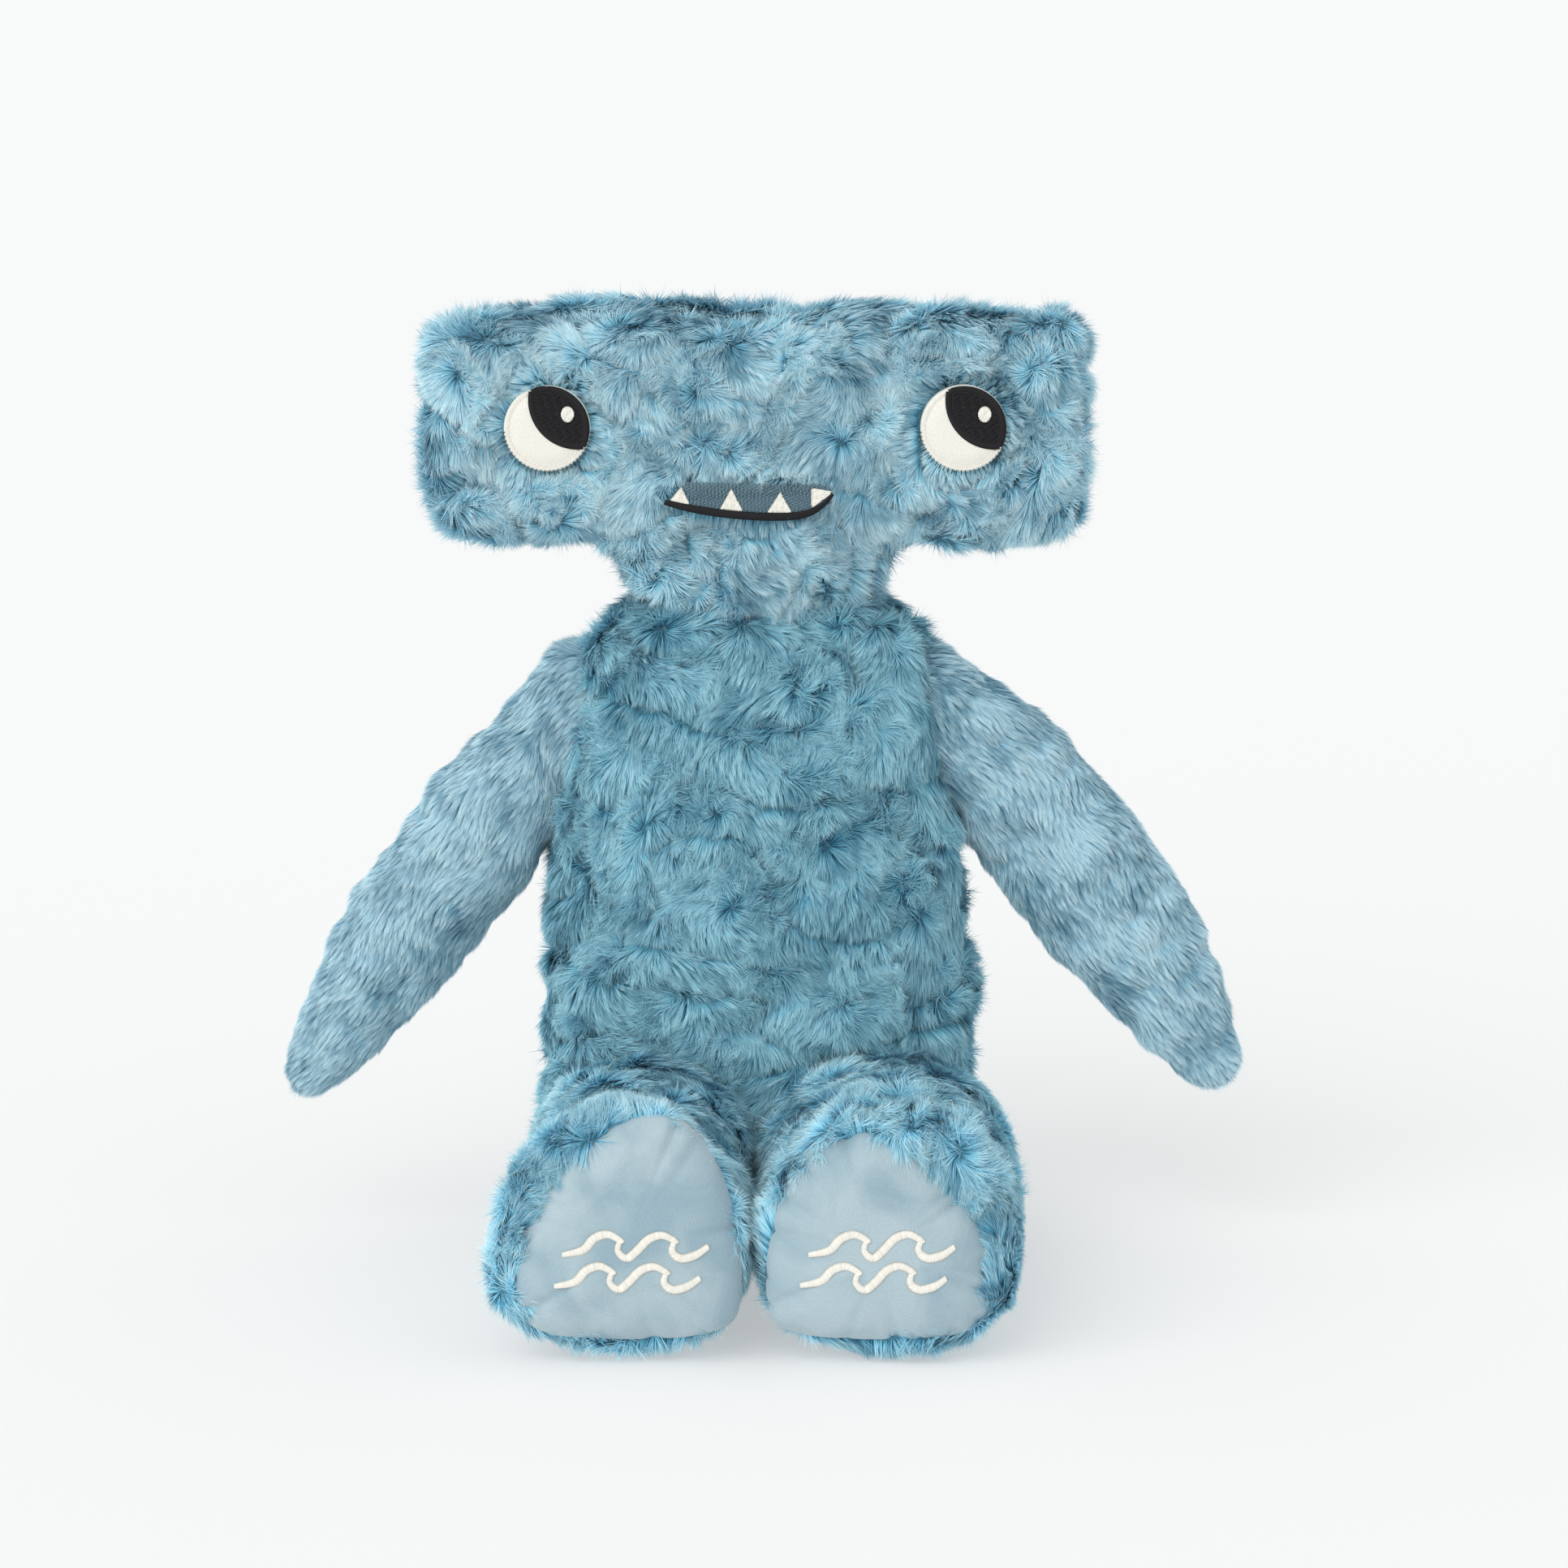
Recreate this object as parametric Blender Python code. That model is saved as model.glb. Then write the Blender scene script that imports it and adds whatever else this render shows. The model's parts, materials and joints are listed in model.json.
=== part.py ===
"""A sitting plush hammerhead shark: fur-fabric skins sewn from panels, fibre stuffing, a pellet bag in the
seat, appliqued eyes and mouth, and smooth soles with an embroidered wave. Run it in Blender 4.5.

The toy faces -Y and sits on z = 0. "left" and "right" are the toy's own, so left is +X. Each piece is drawn
in the toy's own frame, whose z axis runs up the middle of the torso. The empty toy_centre then moves the
whole toy along Y, so that the world origin is at the middle of its footprint.
"""

import math

import bmesh
import bpy
from mathutils import Matrix, Vector

# Clearances and cloth, in metres
GAP = 0.0003  # between pieces that touch
RUNNING = 0.0010  # between a limb's round root and the socket that it turns in
NECK_RUNNING = 0.0018  # the same for the neck, whose root is the widest
PILE = 0.009  # the fur fabric's backing and its pile together
FELT = 0.0010  # each layer of an applique
SATIN = 0.0014  # the height of a satin-stitched line
RING_SIDES = 16  # corners of each cross-section

# Torso
TORSO_TOP = 0.2525  # the rim of the neck opening
TORSO_WIDTH = 0.177
TORSO_DEPTH = 0.132
PELLET_TOP = 0.040  # how high the pellet bag fills the seat
# height, width and depth of each cross-section, as shares of the three sizes above
TORSO_STATIONS = (
    (0.000, 0.84, 0.80),
    (0.030, 0.94, 0.92),
    (0.110, 1.00, 1.00),
    (0.420, 1.00, 1.00),
    (0.594, 0.95, 0.95),
    (0.697, 0.84, 0.89),
    (0.812, 0.71, 0.82),
    (0.960, 0.65, 0.77),
    (1.000, 0.62, 0.74),
)

# Head: a hammer-shaped crosspiece on a neck that ends in a ball
HEAD_WIDTH = 0.268
HEAD_DEPTH = 0.092
HEAD_HEIGHT = 0.105
NECK_LIFT = 0.0155  # the neck's turning axis above the torso's rim
CHIN_LIFT = 0.0045  # the hammer's underside above that axis
NECK_WIDTH = 0.112
NECK_DEPTH = 0.084
FACE_SEAM = 0.013  # from the front or back of the head to its panel's seam
# distance from the middle, drop of the top, rise of the underside and depth, as shares of the head's half
# width, height, height and depth
HEAD_STATIONS = (
    (0.00, 0.010, 0.000, 1.00),
    (0.66, 0.000, 0.020, 0.98),
    (0.85, 0.014, 0.060, 0.96),
    (0.95, 0.080, 0.180, 0.87),
    (1.00, 0.260, 0.400, 0.60),
)

# Eyes, the same way round on both sides, because both look up and to the toy's left
EYE_DIAMETER = 0.033
EYE_SPACING = 0.1586
EYE_RISE = 0.058  # the eyes' centres above the neck's axis
EYE_SUNK = 0.0045  # from the front of the fur down to the cloth under an applique
PUPIL_RADIUS = 0.0188
PUPIL_OFFSET = (0.0117, 0.0108)
GLINT_OFFSET = (0.0079, 0.0055)
GLINT_SIZE = (0.0048, 0.0060)

# Mouth, as (x, height above the neck's axis) of the middle of the lip's line
LIP_POINTS = (
    (-0.0346, 0.0295),
    (-0.0192, 0.0264),
    (-0.0037, 0.0248),
    (0.0087, 0.0245),
    (0.0164, 0.0257),
    (0.0226, 0.0286),
    (0.0290, 0.0326),
)
LIP_THICKNESS = 0.0030
LIP_TAPER = 0.3  # how much thinner its ends are
MOUTH_TOP = 0.0372
MOUTH_CORNERS = (0.008, 0.003)  # how much its upper edge stops short of each corner
MOUTH_MARGIN = 0.0012  # from the lip and the mouth's patch to the fur around them
TOOTH_WIDTH = 0.0084
TOOTH_HEIGHT = 0.0068
# each tooth's middle, and where its tip is: 0 over the middle, -1 over its edge on the toy's right
TOOTH_PLACES = ((-0.0272, 0), (-0.0091, 0), (0.0097, 0), (0.0236, -1))

# Arms, shaped like pectoral fins
SHOULDER_SPREAD = 0.066  # the lifting axis from the toy's middle
SHOULDER_DROP = 0.0365  # the lifting axis below the torso's rim
SHOULDER_RADIUS = 0.027
ARM_LENGTH = 0.2005
ARM_ANGLE = math.radians(34.3)  # from straight down
ARM_WIDTH = 0.061
ARM_THICKNESS = 0.054
# distance along the arm, width, thickness and bow to the outer side, as shares of the three sizes above and
# of the length
ARM_STATIONS = (
    (0.20, 0.92, 0.97, 0.020),
    (0.43, 1.00, 1.00, 0.028),
    (0.60, 0.96, 0.90, 0.039),
    (0.76, 0.75, 0.72, 0.040),
    (0.90, 0.46, 0.44, 0.036),
    (0.97, 0.26, 0.28, 0.026),
    (1.00, 0.12, 0.14, 0.020),
)

# Legs, straight out in front
HIP_FORWARD = 0.055  # the hips' axis in front of the torso's middle
HIP_RADIUS = 0.046
LEG_WIDTH = 0.088
LEG_LENGTH = 0.135  # from the hips' axis to the foot's rim
FOOT_WIDTH = 0.100
FOOT_HEIGHT = 0.099
FOOT_LENGTH = 0.048
FOOT_TAPER = 0.17  # how much narrower the foot is at its toe
HIP_RAISE = math.radians(10.0)  # how far the legs lift before they meet the belly
SOLE_BULGE = 0.006
SOLE_DEPTH = 0.005

# The embroidered waves on each sole
WAVE_LENGTH = 0.0195  # from one crest to the next
WAVE_HEIGHT = 0.0078
WAVE_LINE = 0.0026
WAVE_CRESTS = 2
WAVE_HEIGHTS = (0.0345, 0.0462)  # of the two rows above the floor
WAVE_INWARD = 0.006  # from the foot's middle towards the other foot
WAVE_SHEAR = 0.003  # the upper row is set this much to the toy's left
# Points of a wave's line, as shares of its length and height: the first wave's foot, the foot under the curl
# of the wave before, the crest that rises and curls over, and the last line's flat end
WAVE_FIRST_FOOT = ((0.00, -0.34),)
WAVE_FOOT = ((0.05, 0.22), (0.02, -0.16), (0.18, -0.46))
WAVE_CREST = ((0.38, -0.12), (0.58, 0.34), (0.82, 0.52), (1.02, 0.34), (1.10, 0.18))
WAVE_END = ((0.45, -0.34), (0.68, -0.02))

# Dorsal fin
FIN_LOW = 0.112
FIN_HIGH = 0.192
FIN_REACH = 0.046  # from its root line to its tip
FIN_THICKNESS = 0.028
FIN_CLOTH = 0.007  # a thinner fur than the body's
FIN_SUNK = 0.007  # its root line inside the torso's back
FIN_SWEEP = 0.30  # how far the tip lies below the fin's middle, as a share of its height
# distance out from the root line, height, thickness and fall, as shares of the sizes above
FIN_STATIONS = (
    (0.17, 0.97, 0.70, 0.03),
    (0.36, 0.84, 0.80, 0.16),
    (0.62, 0.60, 0.70, 0.48),
    (0.85, 0.34, 0.48, 0.82),
    (1.00, 0.12, 0.22, 1.00),
)

# Places worked out from the sizes
NECK_AXIS = Vector((0, 0, TORSO_TOP + NECK_LIFT))
SHOULDER_AXIS = Vector((SHOULDER_SPREAD, 0, TORSO_TOP - SHOULDER_DROP))
HIP_AXIS = Vector((0, -HIP_FORWARD, HIP_RADIUS))
HEAD_LOW = NECK_AXIS.z + CHIN_LIFT
SOLE_FRONT = -HIP_FORWARD - LEG_LENGTH - SOLE_BULGE
FIN_LEAN = Vector((0, -0.0095, FIN_HIGH - FIN_LOW)).normalized()
FAR = 0.6  # past everything

COLOURS = {
    "fur": ((0.20, 0.42, 0.52), 0.95),
    "minky": ((0.52, 0.66, 0.74), 0.90),
    "felt_cream": ((0.82, 0.78, 0.70), 0.95),
    "felt_black": ((0.012, 0.012, 0.014), 0.85),
    "mouth_blue": ((0.15, 0.24, 0.32), 0.85),
    "thread_cream": ((0.80, 0.74, 0.64), 0.70),
    "fibre": ((0.86, 0.86, 0.84), 1.00),
    "pellet_cloth": ((0.75, 0.74, 0.70), 0.90),
}
joints = {}


# ---------------------------------------------------------------- helpers
def clear_scene():
    for thing in list(bpy.data.objects):
        bpy.data.objects.remove(thing)


def material(name):
    """The Principled material of that name, made the first time it is asked for."""
    found = bpy.data.materials.get(name)
    if found:
        return found
    colour, roughness = COLOURS[name]
    made = bpy.data.materials.new(name)
    made.use_nodes = True
    shader = made.node_tree.nodes["Principled BSDF"]
    shader.inputs["Base Color"].default_value = (*colour, 1)
    shader.inputs["Roughness"].default_value = roughness
    shader.inputs["Metallic"].default_value = 0.0
    return made


def add_joint(name, place):
    """An empty on a joint's axis. The pieces that move with the joint are its children."""
    empty = bpy.data.objects.new(name, None)
    bpy.context.collection.objects.link(empty)
    empty.location = place
    if name != "toy_centre":
        empty.parent = joints["toy_centre"]
    joints[name] = empty
    return empty


def new_object(name, shape, joint, colour=None):
    """An object from a bmesh drawn in the toy's frame, with its origin on its joint. Without a colour it is
    a cutter."""
    parent = joints[joint]
    if joint != "toy_centre":
        bmesh.ops.translate(shape, vec=-parent.location, verts=shape.verts)
    bmesh.ops.recalc_face_normals(shape, faces=shape.faces)
    mesh = bpy.data.meshes.new(name)
    shape.to_mesh(mesh)
    shape.free()
    mesh.shade_smooth()
    mesh.set_sharp_from_angle(angle=math.radians(50))
    thing = bpy.data.objects.new(name, mesh)
    bpy.context.collection.objects.link(thing)
    thing.parent = parent
    if colour:
        mesh.materials.append(material(colour))
    else:
        thing.hide_render = True
        thing.display_type = "WIRE"
    return thing


def boolean(thing, operation, *others):
    for other in others:
        modifier = thing.modifiers.new(f"{operation.lower()} {other.name}", "BOOLEAN")
        modifier.operation = operation
        modifier.solver = "EXACT"
        modifier.object = other
    return thing


def ring(centre, across, along, half_across, half_along, power=2.0, taper=0.0):
    """The corners of a superellipse round a point. taper narrows it towards the end of its second axis, and
    keeps its greatest width."""
    corners = []
    for i in range(RING_SIDES):
        angle = 2 * math.pi * i / RING_SIDES
        u = math.copysign(abs(math.cos(angle)) ** (2 / power), math.cos(angle))
        v = math.copysign(abs(math.sin(angle)) ** (2 / power), math.sin(angle))
        corners.append((u * (1 - taper * v), v))
    widest = max(u for u, _ in corners)
    return [centre + across * (half_across * u / widest) + along * (half_along * v) for u, v in corners]


def loft(rings):
    """A closed skin over a row of rings, with a flat cap on each end. Its quads are split the same way in
    every skin, so that a lining follows the skin around it."""
    shape = bmesh.new()
    rows = [[shape.verts.new(corner) for corner in corners] for corners in rings]
    for row, after in zip(rows, rows[1:]):
        for i in range(len(row)):
            j = (i + 1) % len(row)
            shape.faces.new((row[i], row[j], after[j]))
            shape.faces.new((row[i], after[j], after[i]))
    shape.faces.new(rows[0][::-1])
    shape.faces.new(rows[-1])
    return shape


def prism(outline, start, depth):
    """A flat outline given as (x, z) points, extruded from y = start towards the front by depth."""
    shape = bmesh.new()
    face = shape.faces.new([shape.verts.new((x, start, z)) for x, z in outline])
    made = bmesh.ops.extrude_face_region(shape, geom=[face])
    moved = [item for item in made["geom"] if isinstance(item, bmesh.types.BMVert)]
    bmesh.ops.translate(shape, vec=(0, -depth, 0), verts=moved)
    return shape


def block(low, high):
    shape = bmesh.new()
    size = Vector(high) - Vector(low)
    bmesh.ops.create_cube(shape, size=1.0)
    bmesh.ops.scale(shape, vec=size, verts=shape.verts)
    bmesh.ops.translate(shape, vec=(Vector(high) + Vector(low)) / 2, verts=shape.verts)
    return shape


def cutter_block(name, low, high, joint):
    return new_object(name, block(low, high), joint)


def mirrored(shape):
    """The same shape on the toy's right, which is -X."""
    bmesh.ops.scale(shape, vec=(-1, 1, 1), verts=shape.verts)
    bmesh.ops.reverse_faces(shape, faces=shape.faces)
    return shape


def on_side(shape, side):
    return shape if side == "left" else mirrored(shape)


def mixed(stations, share):
    """A row of the station table at any share of its first column."""
    for low, high in zip(stations, stations[1:]):
        if low[0] <= share <= high[0]:
            t = (share - low[0]) / (high[0] - low[0])
            return [a + (b - a) * t for a, b in zip(low, high)]
    return list(stations[-1] if share > stations[-1][0] else stations[0])


def smooth_line(points, steps):
    """Points on a Catmull-Rom curve through a row of points."""
    rows = [Vector(p) for p in points]
    rows = [2 * rows[0] - rows[1], *rows, 2 * rows[-1] - rows[-2]]
    line = []
    for a, b, c, d in zip(rows, rows[1:], rows[2:], rows[3:]):
        for k in range(steps):
            t = k / steps
            line.append(
                0.5 * (2 * b + (c - a) * t + (2 * a - 5 * b + 4 * c - d) * t * t
                       + (3 * b - a - 3 * c + d) * t ** 3)
            )
    line.append(rows[-2])
    return line


def beside(line, distances):
    """The points this far to the left of each point of a line, seen along it."""
    moved = []
    for i, distance in enumerate(distances):
        along = line[min(i + 1, len(line) - 1)] - line[max(i - 1, 0)]
        moved.append(line[i] + Vector((-along.y, along.x)).normalized() * distance)
    return moved


def ribbon(line, width, taper=0.0):
    """The outline of a flat band along a line of (x, z) points. taper thins the last sixth at both ends."""
    halves = []
    for i in range(len(line)):
        from_end = min(i, len(line) - 1 - i) / (len(line) - 1)
        halves.append(width / 2 * (1 - taper * (1 - min(1, 6 * from_end))))
    lower = beside(line, [-half for half in halves])
    return [tuple(point) for point in beside(line, halves) + lower[::-1]]


# ---------------------------------------------------------------- torso
def torso_shape(inset=0.0):
    """The pear-shaped body, or the same shape this much inside it."""
    x, y = Vector((1, 0, 0)), Vector((0, 1, 0))
    low, high = inset, TORSO_TOP - inset
    heights = [share * TORSO_TOP for share, _, _ in TORSO_STATIONS]
    heights = [low, *(h for h in heights if low + 0.001 < h < high - 0.001), high]
    rings = []
    for height in heights:
        _, width, depth = mixed(TORSO_STATIONS, height / TORSO_TOP)
        half_width = TORSO_WIDTH / 2 * width - inset
        half_depth = TORSO_DEPTH / 2 * depth - inset
        rings.append(ring(Vector((0, 0, height)), x, y, half_width, half_depth, 2.3))
    return loft(rings)


def neck_shape(inset=0.0, top=0.012):
    """The neck's stem and, below its axis, the half ball that turns in the torso's collar."""
    x, y = Vector((1, 0, 0)), Vector((0, 1, 0))
    half_width, half_depth = NECK_WIDTH / 2 - inset, NECK_DEPTH / 2 - inset
    rings = []
    for degrees in (-84, -66, -48, -32, -16, 0):
        angle = math.radians(degrees)
        centre = NECK_AXIS + Vector((0, 0, half_depth * math.sin(angle)))
        share = math.cos(angle)
        rings.append(ring(centre, x, y, half_width * share, half_depth * share))
    rings.append(ring(NECK_AXIS + Vector((0, 0, top)), x, y, half_width, half_depth))
    return loft(rings)


def arm_shape(inset=0.0):
    """The left arm as a leaf-shaped stuffed fin on a round root."""
    down = Vector((math.sin(ARM_ANGLE), 0, -math.cos(ARM_ANGLE)))
    outward = Vector((math.cos(ARM_ANGLE), 0, math.sin(ARM_ANGLE)))
    y = Vector((0, 1, 0))
    root = SHOULDER_RADIUS - inset
    rings = []
    for degrees in (-80, -60, -40, -20, 0):
        angle = math.radians(degrees)
        centre = SHOULDER_AXIS + down * (root * math.sin(angle))
        share = math.cos(angle)
        rings.append(ring(centre, outward, y, root * share, root * share))
    for along, width, thickness, bow in ARM_STATIONS:
        half_width = ARM_WIDTH / 2 * width - inset
        half_thickness = ARM_THICKNESS / 2 * thickness - inset
        if min(half_width, half_thickness) < 0.001:
            break
        centre = SHOULDER_AXIS + down * ((ARM_LENGTH - inset) * along) + outward * (bow * ARM_LENGTH)
        rings.append(ring(centre, outward, y, half_width, half_thickness, 2.2))
    return loft(rings)


def leg_shape(inset=0.0, front=0.0):
    """The left leg and foot, lying along -Y with its sole end cut off square, or run on by front."""
    x, z = Vector((1, 0, 0)), Vector((0, 0, 1))
    root = HIP_RADIUS - inset
    middle = LEG_WIDTH / 2 + GAP
    foot_middle = FOOT_WIDTH / 2 + GAP
    rings = []
    for degrees in (80, 60, 40, 20, 0):
        angle = math.radians(degrees)
        share = math.cos(angle)
        centre = HIP_AXIS + Vector((middle, root * math.sin(angle), 0))
        rings.append(ring(centre, x, z, (LEG_WIDTH / 2 - inset) * share, root * share, 2.2))
    ankle = LEG_LENGTH - FOOT_LENGTH
    # distance from the axis, how far the section has turned into the foot's
    for along, share in (
        (ankle * 0.45, 0.0),
        (ankle * 0.85, 0.08),
        (ankle + FOOT_LENGTH * 0.25, 0.55),
        (ankle + FOOT_LENGTH * 0.60, 0.97),
        (ankle + FOOT_LENGTH * 0.85, 1.0),
        (LEG_LENGTH + front, 0.955),
    ):
        half_width = (LEG_WIDTH + (FOOT_WIDTH - LEG_WIDTH) * share) / 2 - inset
        half_height = HIP_RADIUS + (FOOT_HEIGHT / 2 - HIP_RADIUS) * share
        centre_x = middle + (foot_middle - middle) * min(1, share)
        centre = Vector((centre_x, HIP_AXIS.y - along, half_height))
        rings.append(ring(centre, x, z, half_width, half_height - inset, 2.3, FOOT_TAPER * share))
    return loft(rings)


def sole_section(y, shrink):
    """A ring of the foot's rounded opening at y, this much inside the fur's outside."""
    x, z = Vector((1, 0, 0)), Vector((0, 0, 1))
    centre = Vector((FOOT_WIDTH / 2 + GAP, y, FOOT_HEIGHT / 2))
    half_width, half_height = FOOT_WIDTH / 2 - shrink, FOOT_HEIGHT / 2 - shrink
    return ring(centre, x, z, half_width, half_height, 2.3, FOOT_TAPER)


def sole_shape(side_gap, back, front_flat):
    """The sole's pad: its edge sits in the foot's opening, and its face bulges out in front."""
    rim = HIP_AXIS.y - LEG_LENGTH
    return loft([
        sole_section(rim + back, PILE + side_gap),
        sole_section(rim, PILE + side_gap),
        sole_section(rim - SOLE_BULGE * 0.65, PILE + side_gap + 0.003),
        sole_section(rim - front_flat, PILE + side_gap + 0.008),
    ])


def hip_clearance():
    """What the turning legs need cut from the torso: a round socket, open to the front and below."""
    radius = HIP_RADIUS + RUNNING
    turn = math.pi / 2 - HIP_RAISE
    steps = 9
    profile = [(radius, -FAR)]
    profile += [
        (radius * math.cos(turn * i / steps), radius * math.sin(turn * i / steps))
        for i in range(steps + 1)
    ]
    y, z = profile[-1]
    profile.append((y - FAR * math.cos(HIP_RAISE), z + FAR * math.sin(HIP_RAISE)))
    profile.append((-FAR, -FAR))
    shape = bmesh.new()
    corners = [shape.verts.new((-FAR, HIP_AXIS.y + y, HIP_AXIS.z + z)) for y, z in profile]
    made = bmesh.ops.extrude_face_region(shape, geom=[shape.faces.new(corners)])
    moved = [item for item in made["geom"] if isinstance(item, bmesh.types.BMVert)]
    bmesh.ops.translate(shape, vec=(2 * FAR, 0, 0), verts=moved)
    return shape


def back_of_torso(height):
    _, _, depth = mixed(TORSO_STATIONS, height / TORSO_TOP)
    return TORSO_DEPTH / 2 * depth


def fin_root():
    """The middle of the fin's root line, FIN_SUNK inside the torso's back."""
    height = (FIN_LOW + FIN_HIGH) / 2
    return Vector((0, back_of_torso(height) - FIN_SUNK, height))


def fin_shape(inset=0.0):
    """The dorsal fin: a half-round root along the torso's back, a waist where it is sewn on, and a swept
    blade. Each section is a thin ellipse in line with the back."""
    x, y = Vector((1, 0, 0)), Vector((0, 1, 0))
    half_root, root = (FIN_HIGH - FIN_LOW) / 2, FIN_THICKNESS / 2 - inset
    rings = []
    for degrees in (-75, -50, -25, 0):
        angle = math.radians(degrees)
        share = math.cos(angle)
        centre = fin_root() + y * (root * math.sin(angle))
        rings.append(ring(centre, FIN_LEAN, x, (half_root - inset) * (0.9 + 0.1 * share), root * share, 2.6))
    for out, height, thickness, drop in FIN_STATIONS:
        half_height = half_root * height - inset
        half_thickness = FIN_THICKNESS / 2 * thickness - inset
        if min(half_height, half_thickness) < 0.001:
            break
        fall = FIN_LEAN * ((FIN_HIGH - FIN_LOW) * FIN_SWEEP * drop)
        centre = fin_root() + y * ((FIN_REACH - inset) * out) - fall
        rings.append(ring(centre, FIN_LEAN, x, half_height, half_thickness, 2.2))
    return loft(rings)


def fin_socket():
    """The groove in the torso's back that the fin's root turns in."""
    radius, length = FIN_THICKNESS / 2 + RUNNING, (FIN_HIGH - FIN_LOW) / 2 + 2 * RUNNING
    x = Vector((1, 0, 0))
    out = x.cross(FIN_LEAN)
    ends = [fin_root() + FIN_LEAN * length * end for end in (-1, 1)]
    return loft([ring(end, x, out, radius, radius) for end in ends])


def build_torso():
    cavity = new_object("torso_cavity", torso_shape(PILE), "toy_centre")
    hips = new_object("hip_clearance", hip_clearance(), "toy_centre")
    neck = new_object("neck_socket", neck_shape(-NECK_RUNNING, FAR / 4), "toy_centre")
    arms = [
        new_object(f"{side}_arm_clearance", on_side(arm_shape(-RUNNING), side), "toy_centre")
        for side in ("left", "right")
    ]
    groove = new_object("fin_groove", fin_socket(), "toy_centre")
    sockets = (hips, neck, *arms)
    front = cutter_block("front_half", (-FAR, -FAR, PILE + GAP), (FAR, -GAP / 2, FAR), "toy_centre")
    back = cutter_block("back_half", (-FAR, GAP / 2, PILE + GAP), (FAR, FAR, FAR), "toy_centre")
    bottom = cutter_block("seat_slice", (-FAR, -FAR, -FAR), (FAR, FAR, PILE), "toy_centre")
    panel = new_object("torso_front_panel", torso_shape(), "toy_centre", "fur")
    boolean(boolean(panel, "DIFFERENCE", cavity), "INTERSECT", front)
    boolean(panel, "DIFFERENCE", *sockets)
    panel = new_object("torso_back_panel", torso_shape(), "toy_centre", "fur")
    boolean(boolean(panel, "DIFFERENCE", cavity), "INTERSECT", back)
    boolean(panel, "DIFFERENCE", *sockets, groove)
    panel = new_object("seat_panel", torso_shape(), "toy_centre", "fur")
    boolean(boolean(panel, "INTERSECT", bottom), "DIFFERENCE", hips)

    above = cutter_block(
        "above_pellets", (-FAR, -FAR, PELLET_TOP), (FAR, FAR, FAR), "toy_centre"
    )
    below = cutter_block(
        "below_pellets", (-FAR, -FAR, -FAR), (FAR, FAR, PELLET_TOP - GAP), "toy_centre"
    )
    core = new_object("torso_stuffing", torso_shape(PILE + GAP), "toy_centre", "fibre")
    boolean(boolean(core, "INTERSECT", above), "DIFFERENCE", *sockets, groove)
    bag = new_object("pellet_bag", torso_shape(PILE + 2 * GAP), "toy_centre", "pellet_cloth")
    boolean(boolean(bag, "INTERSECT", below), "DIFFERENCE", hips)


# ---------------------------------------------------------------- head
def hammer_shape(inset=0.0):
    """The crosspiece of the head, from one end to the other."""
    y, z = Vector((0, 1, 0)), Vector((0, 0, 1))
    half = HEAD_WIDTH / 2 - inset
    sides = [(-row[0], *row[1:]) for row in HEAD_STATIONS[:0:-1]] + list(HEAD_STATIONS)
    rings = []
    for out, drop, rise, depth in sides:
        top = HEAD_LOW + HEAD_HEIGHT * (1 - drop) - inset
        bottom = HEAD_LOW + HEAD_HEIGHT * rise + inset
        centre = Vector((half * out, 0, (top + bottom) / 2))
        half_depth = HEAD_DEPTH / 2 * depth - inset
        rings.append(ring(centre, y, z, half_depth, (top - bottom) / 2, 3.4))
    return loft(rings)


def disc(centre, radius_x, radius_z, sides=20):
    return [
        (centre[0] + radius_x * math.cos(2 * math.pi * i / sides),
         centre[1] + radius_z * math.sin(2 * math.pi * i / sides))
        for i in range(sides)
    ]


def pupil_outline(centre):
    """The part of a large disc, up and to the toy's left, that lies on the eye: two arcs that meet."""
    big = Vector(centre) + Vector(PUPIL_OFFSET)
    eye_radius = EYE_DIAMETER / 2
    apart = Vector(PUPIL_OFFSET).length
    towards = math.atan2(PUPIL_OFFSET[1], PUPIL_OFFSET[0])
    half_eye = math.acos(
        (eye_radius**2 + apart**2 - PUPIL_RADIUS**2) / (2 * eye_radius * apart)
    )
    half_big = math.acos(
        (PUPIL_RADIUS**2 + apart**2 - eye_radius**2) / (2 * PUPIL_RADIUS * apart)
    )
    steps = 9
    outline = []
    for i in range(steps):
        angle = towards - half_eye + 2 * half_eye * i / steps
        outline.append(
            (centre[0] + eye_radius * math.cos(angle), centre[1] + eye_radius * math.sin(angle))
        )
    for i in range(steps):
        angle = towards + math.pi - half_big + 2 * half_big * i / steps
        outline.append(
            (big.x + PUPIL_RADIUS * math.cos(angle), big.y + PUPIL_RADIUS * math.sin(angle))
        )
    return outline


def lip_line():
    return smooth_line([(x, NECK_AXIS.z + rise) for x, rise in LIP_POINTS], 3)


def lip_height(x):
    """The middle of the lip's line at x."""
    line = lip_line()
    for a, b in zip(line, line[1:]):
        if a.x <= x <= b.x:
            return a.y + (b.y - a.y) * (x - a.x) / (b.x - a.x)
    return line[0].y if x < line[0].x else line[-1].y


def mouth_outline(margin=0.0):
    """The mouth's patch, or its pocket with a margin: the lower edge follows the lip, and the upper edge is
    straight and shorter."""
    line = lip_line()
    line = beside(line, [LIP_THICKNESS / 2 + GAP - margin] * len(line))
    line[0].x -= margin
    line[-1].x += margin
    top = NECK_AXIS.z + MOUTH_TOP + margin
    upper = [(line[-1].x - MOUTH_CORNERS[1], top), (line[0].x + MOUTH_CORNERS[0], top)]
    return [tuple(point) for point in line] + upper


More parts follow.
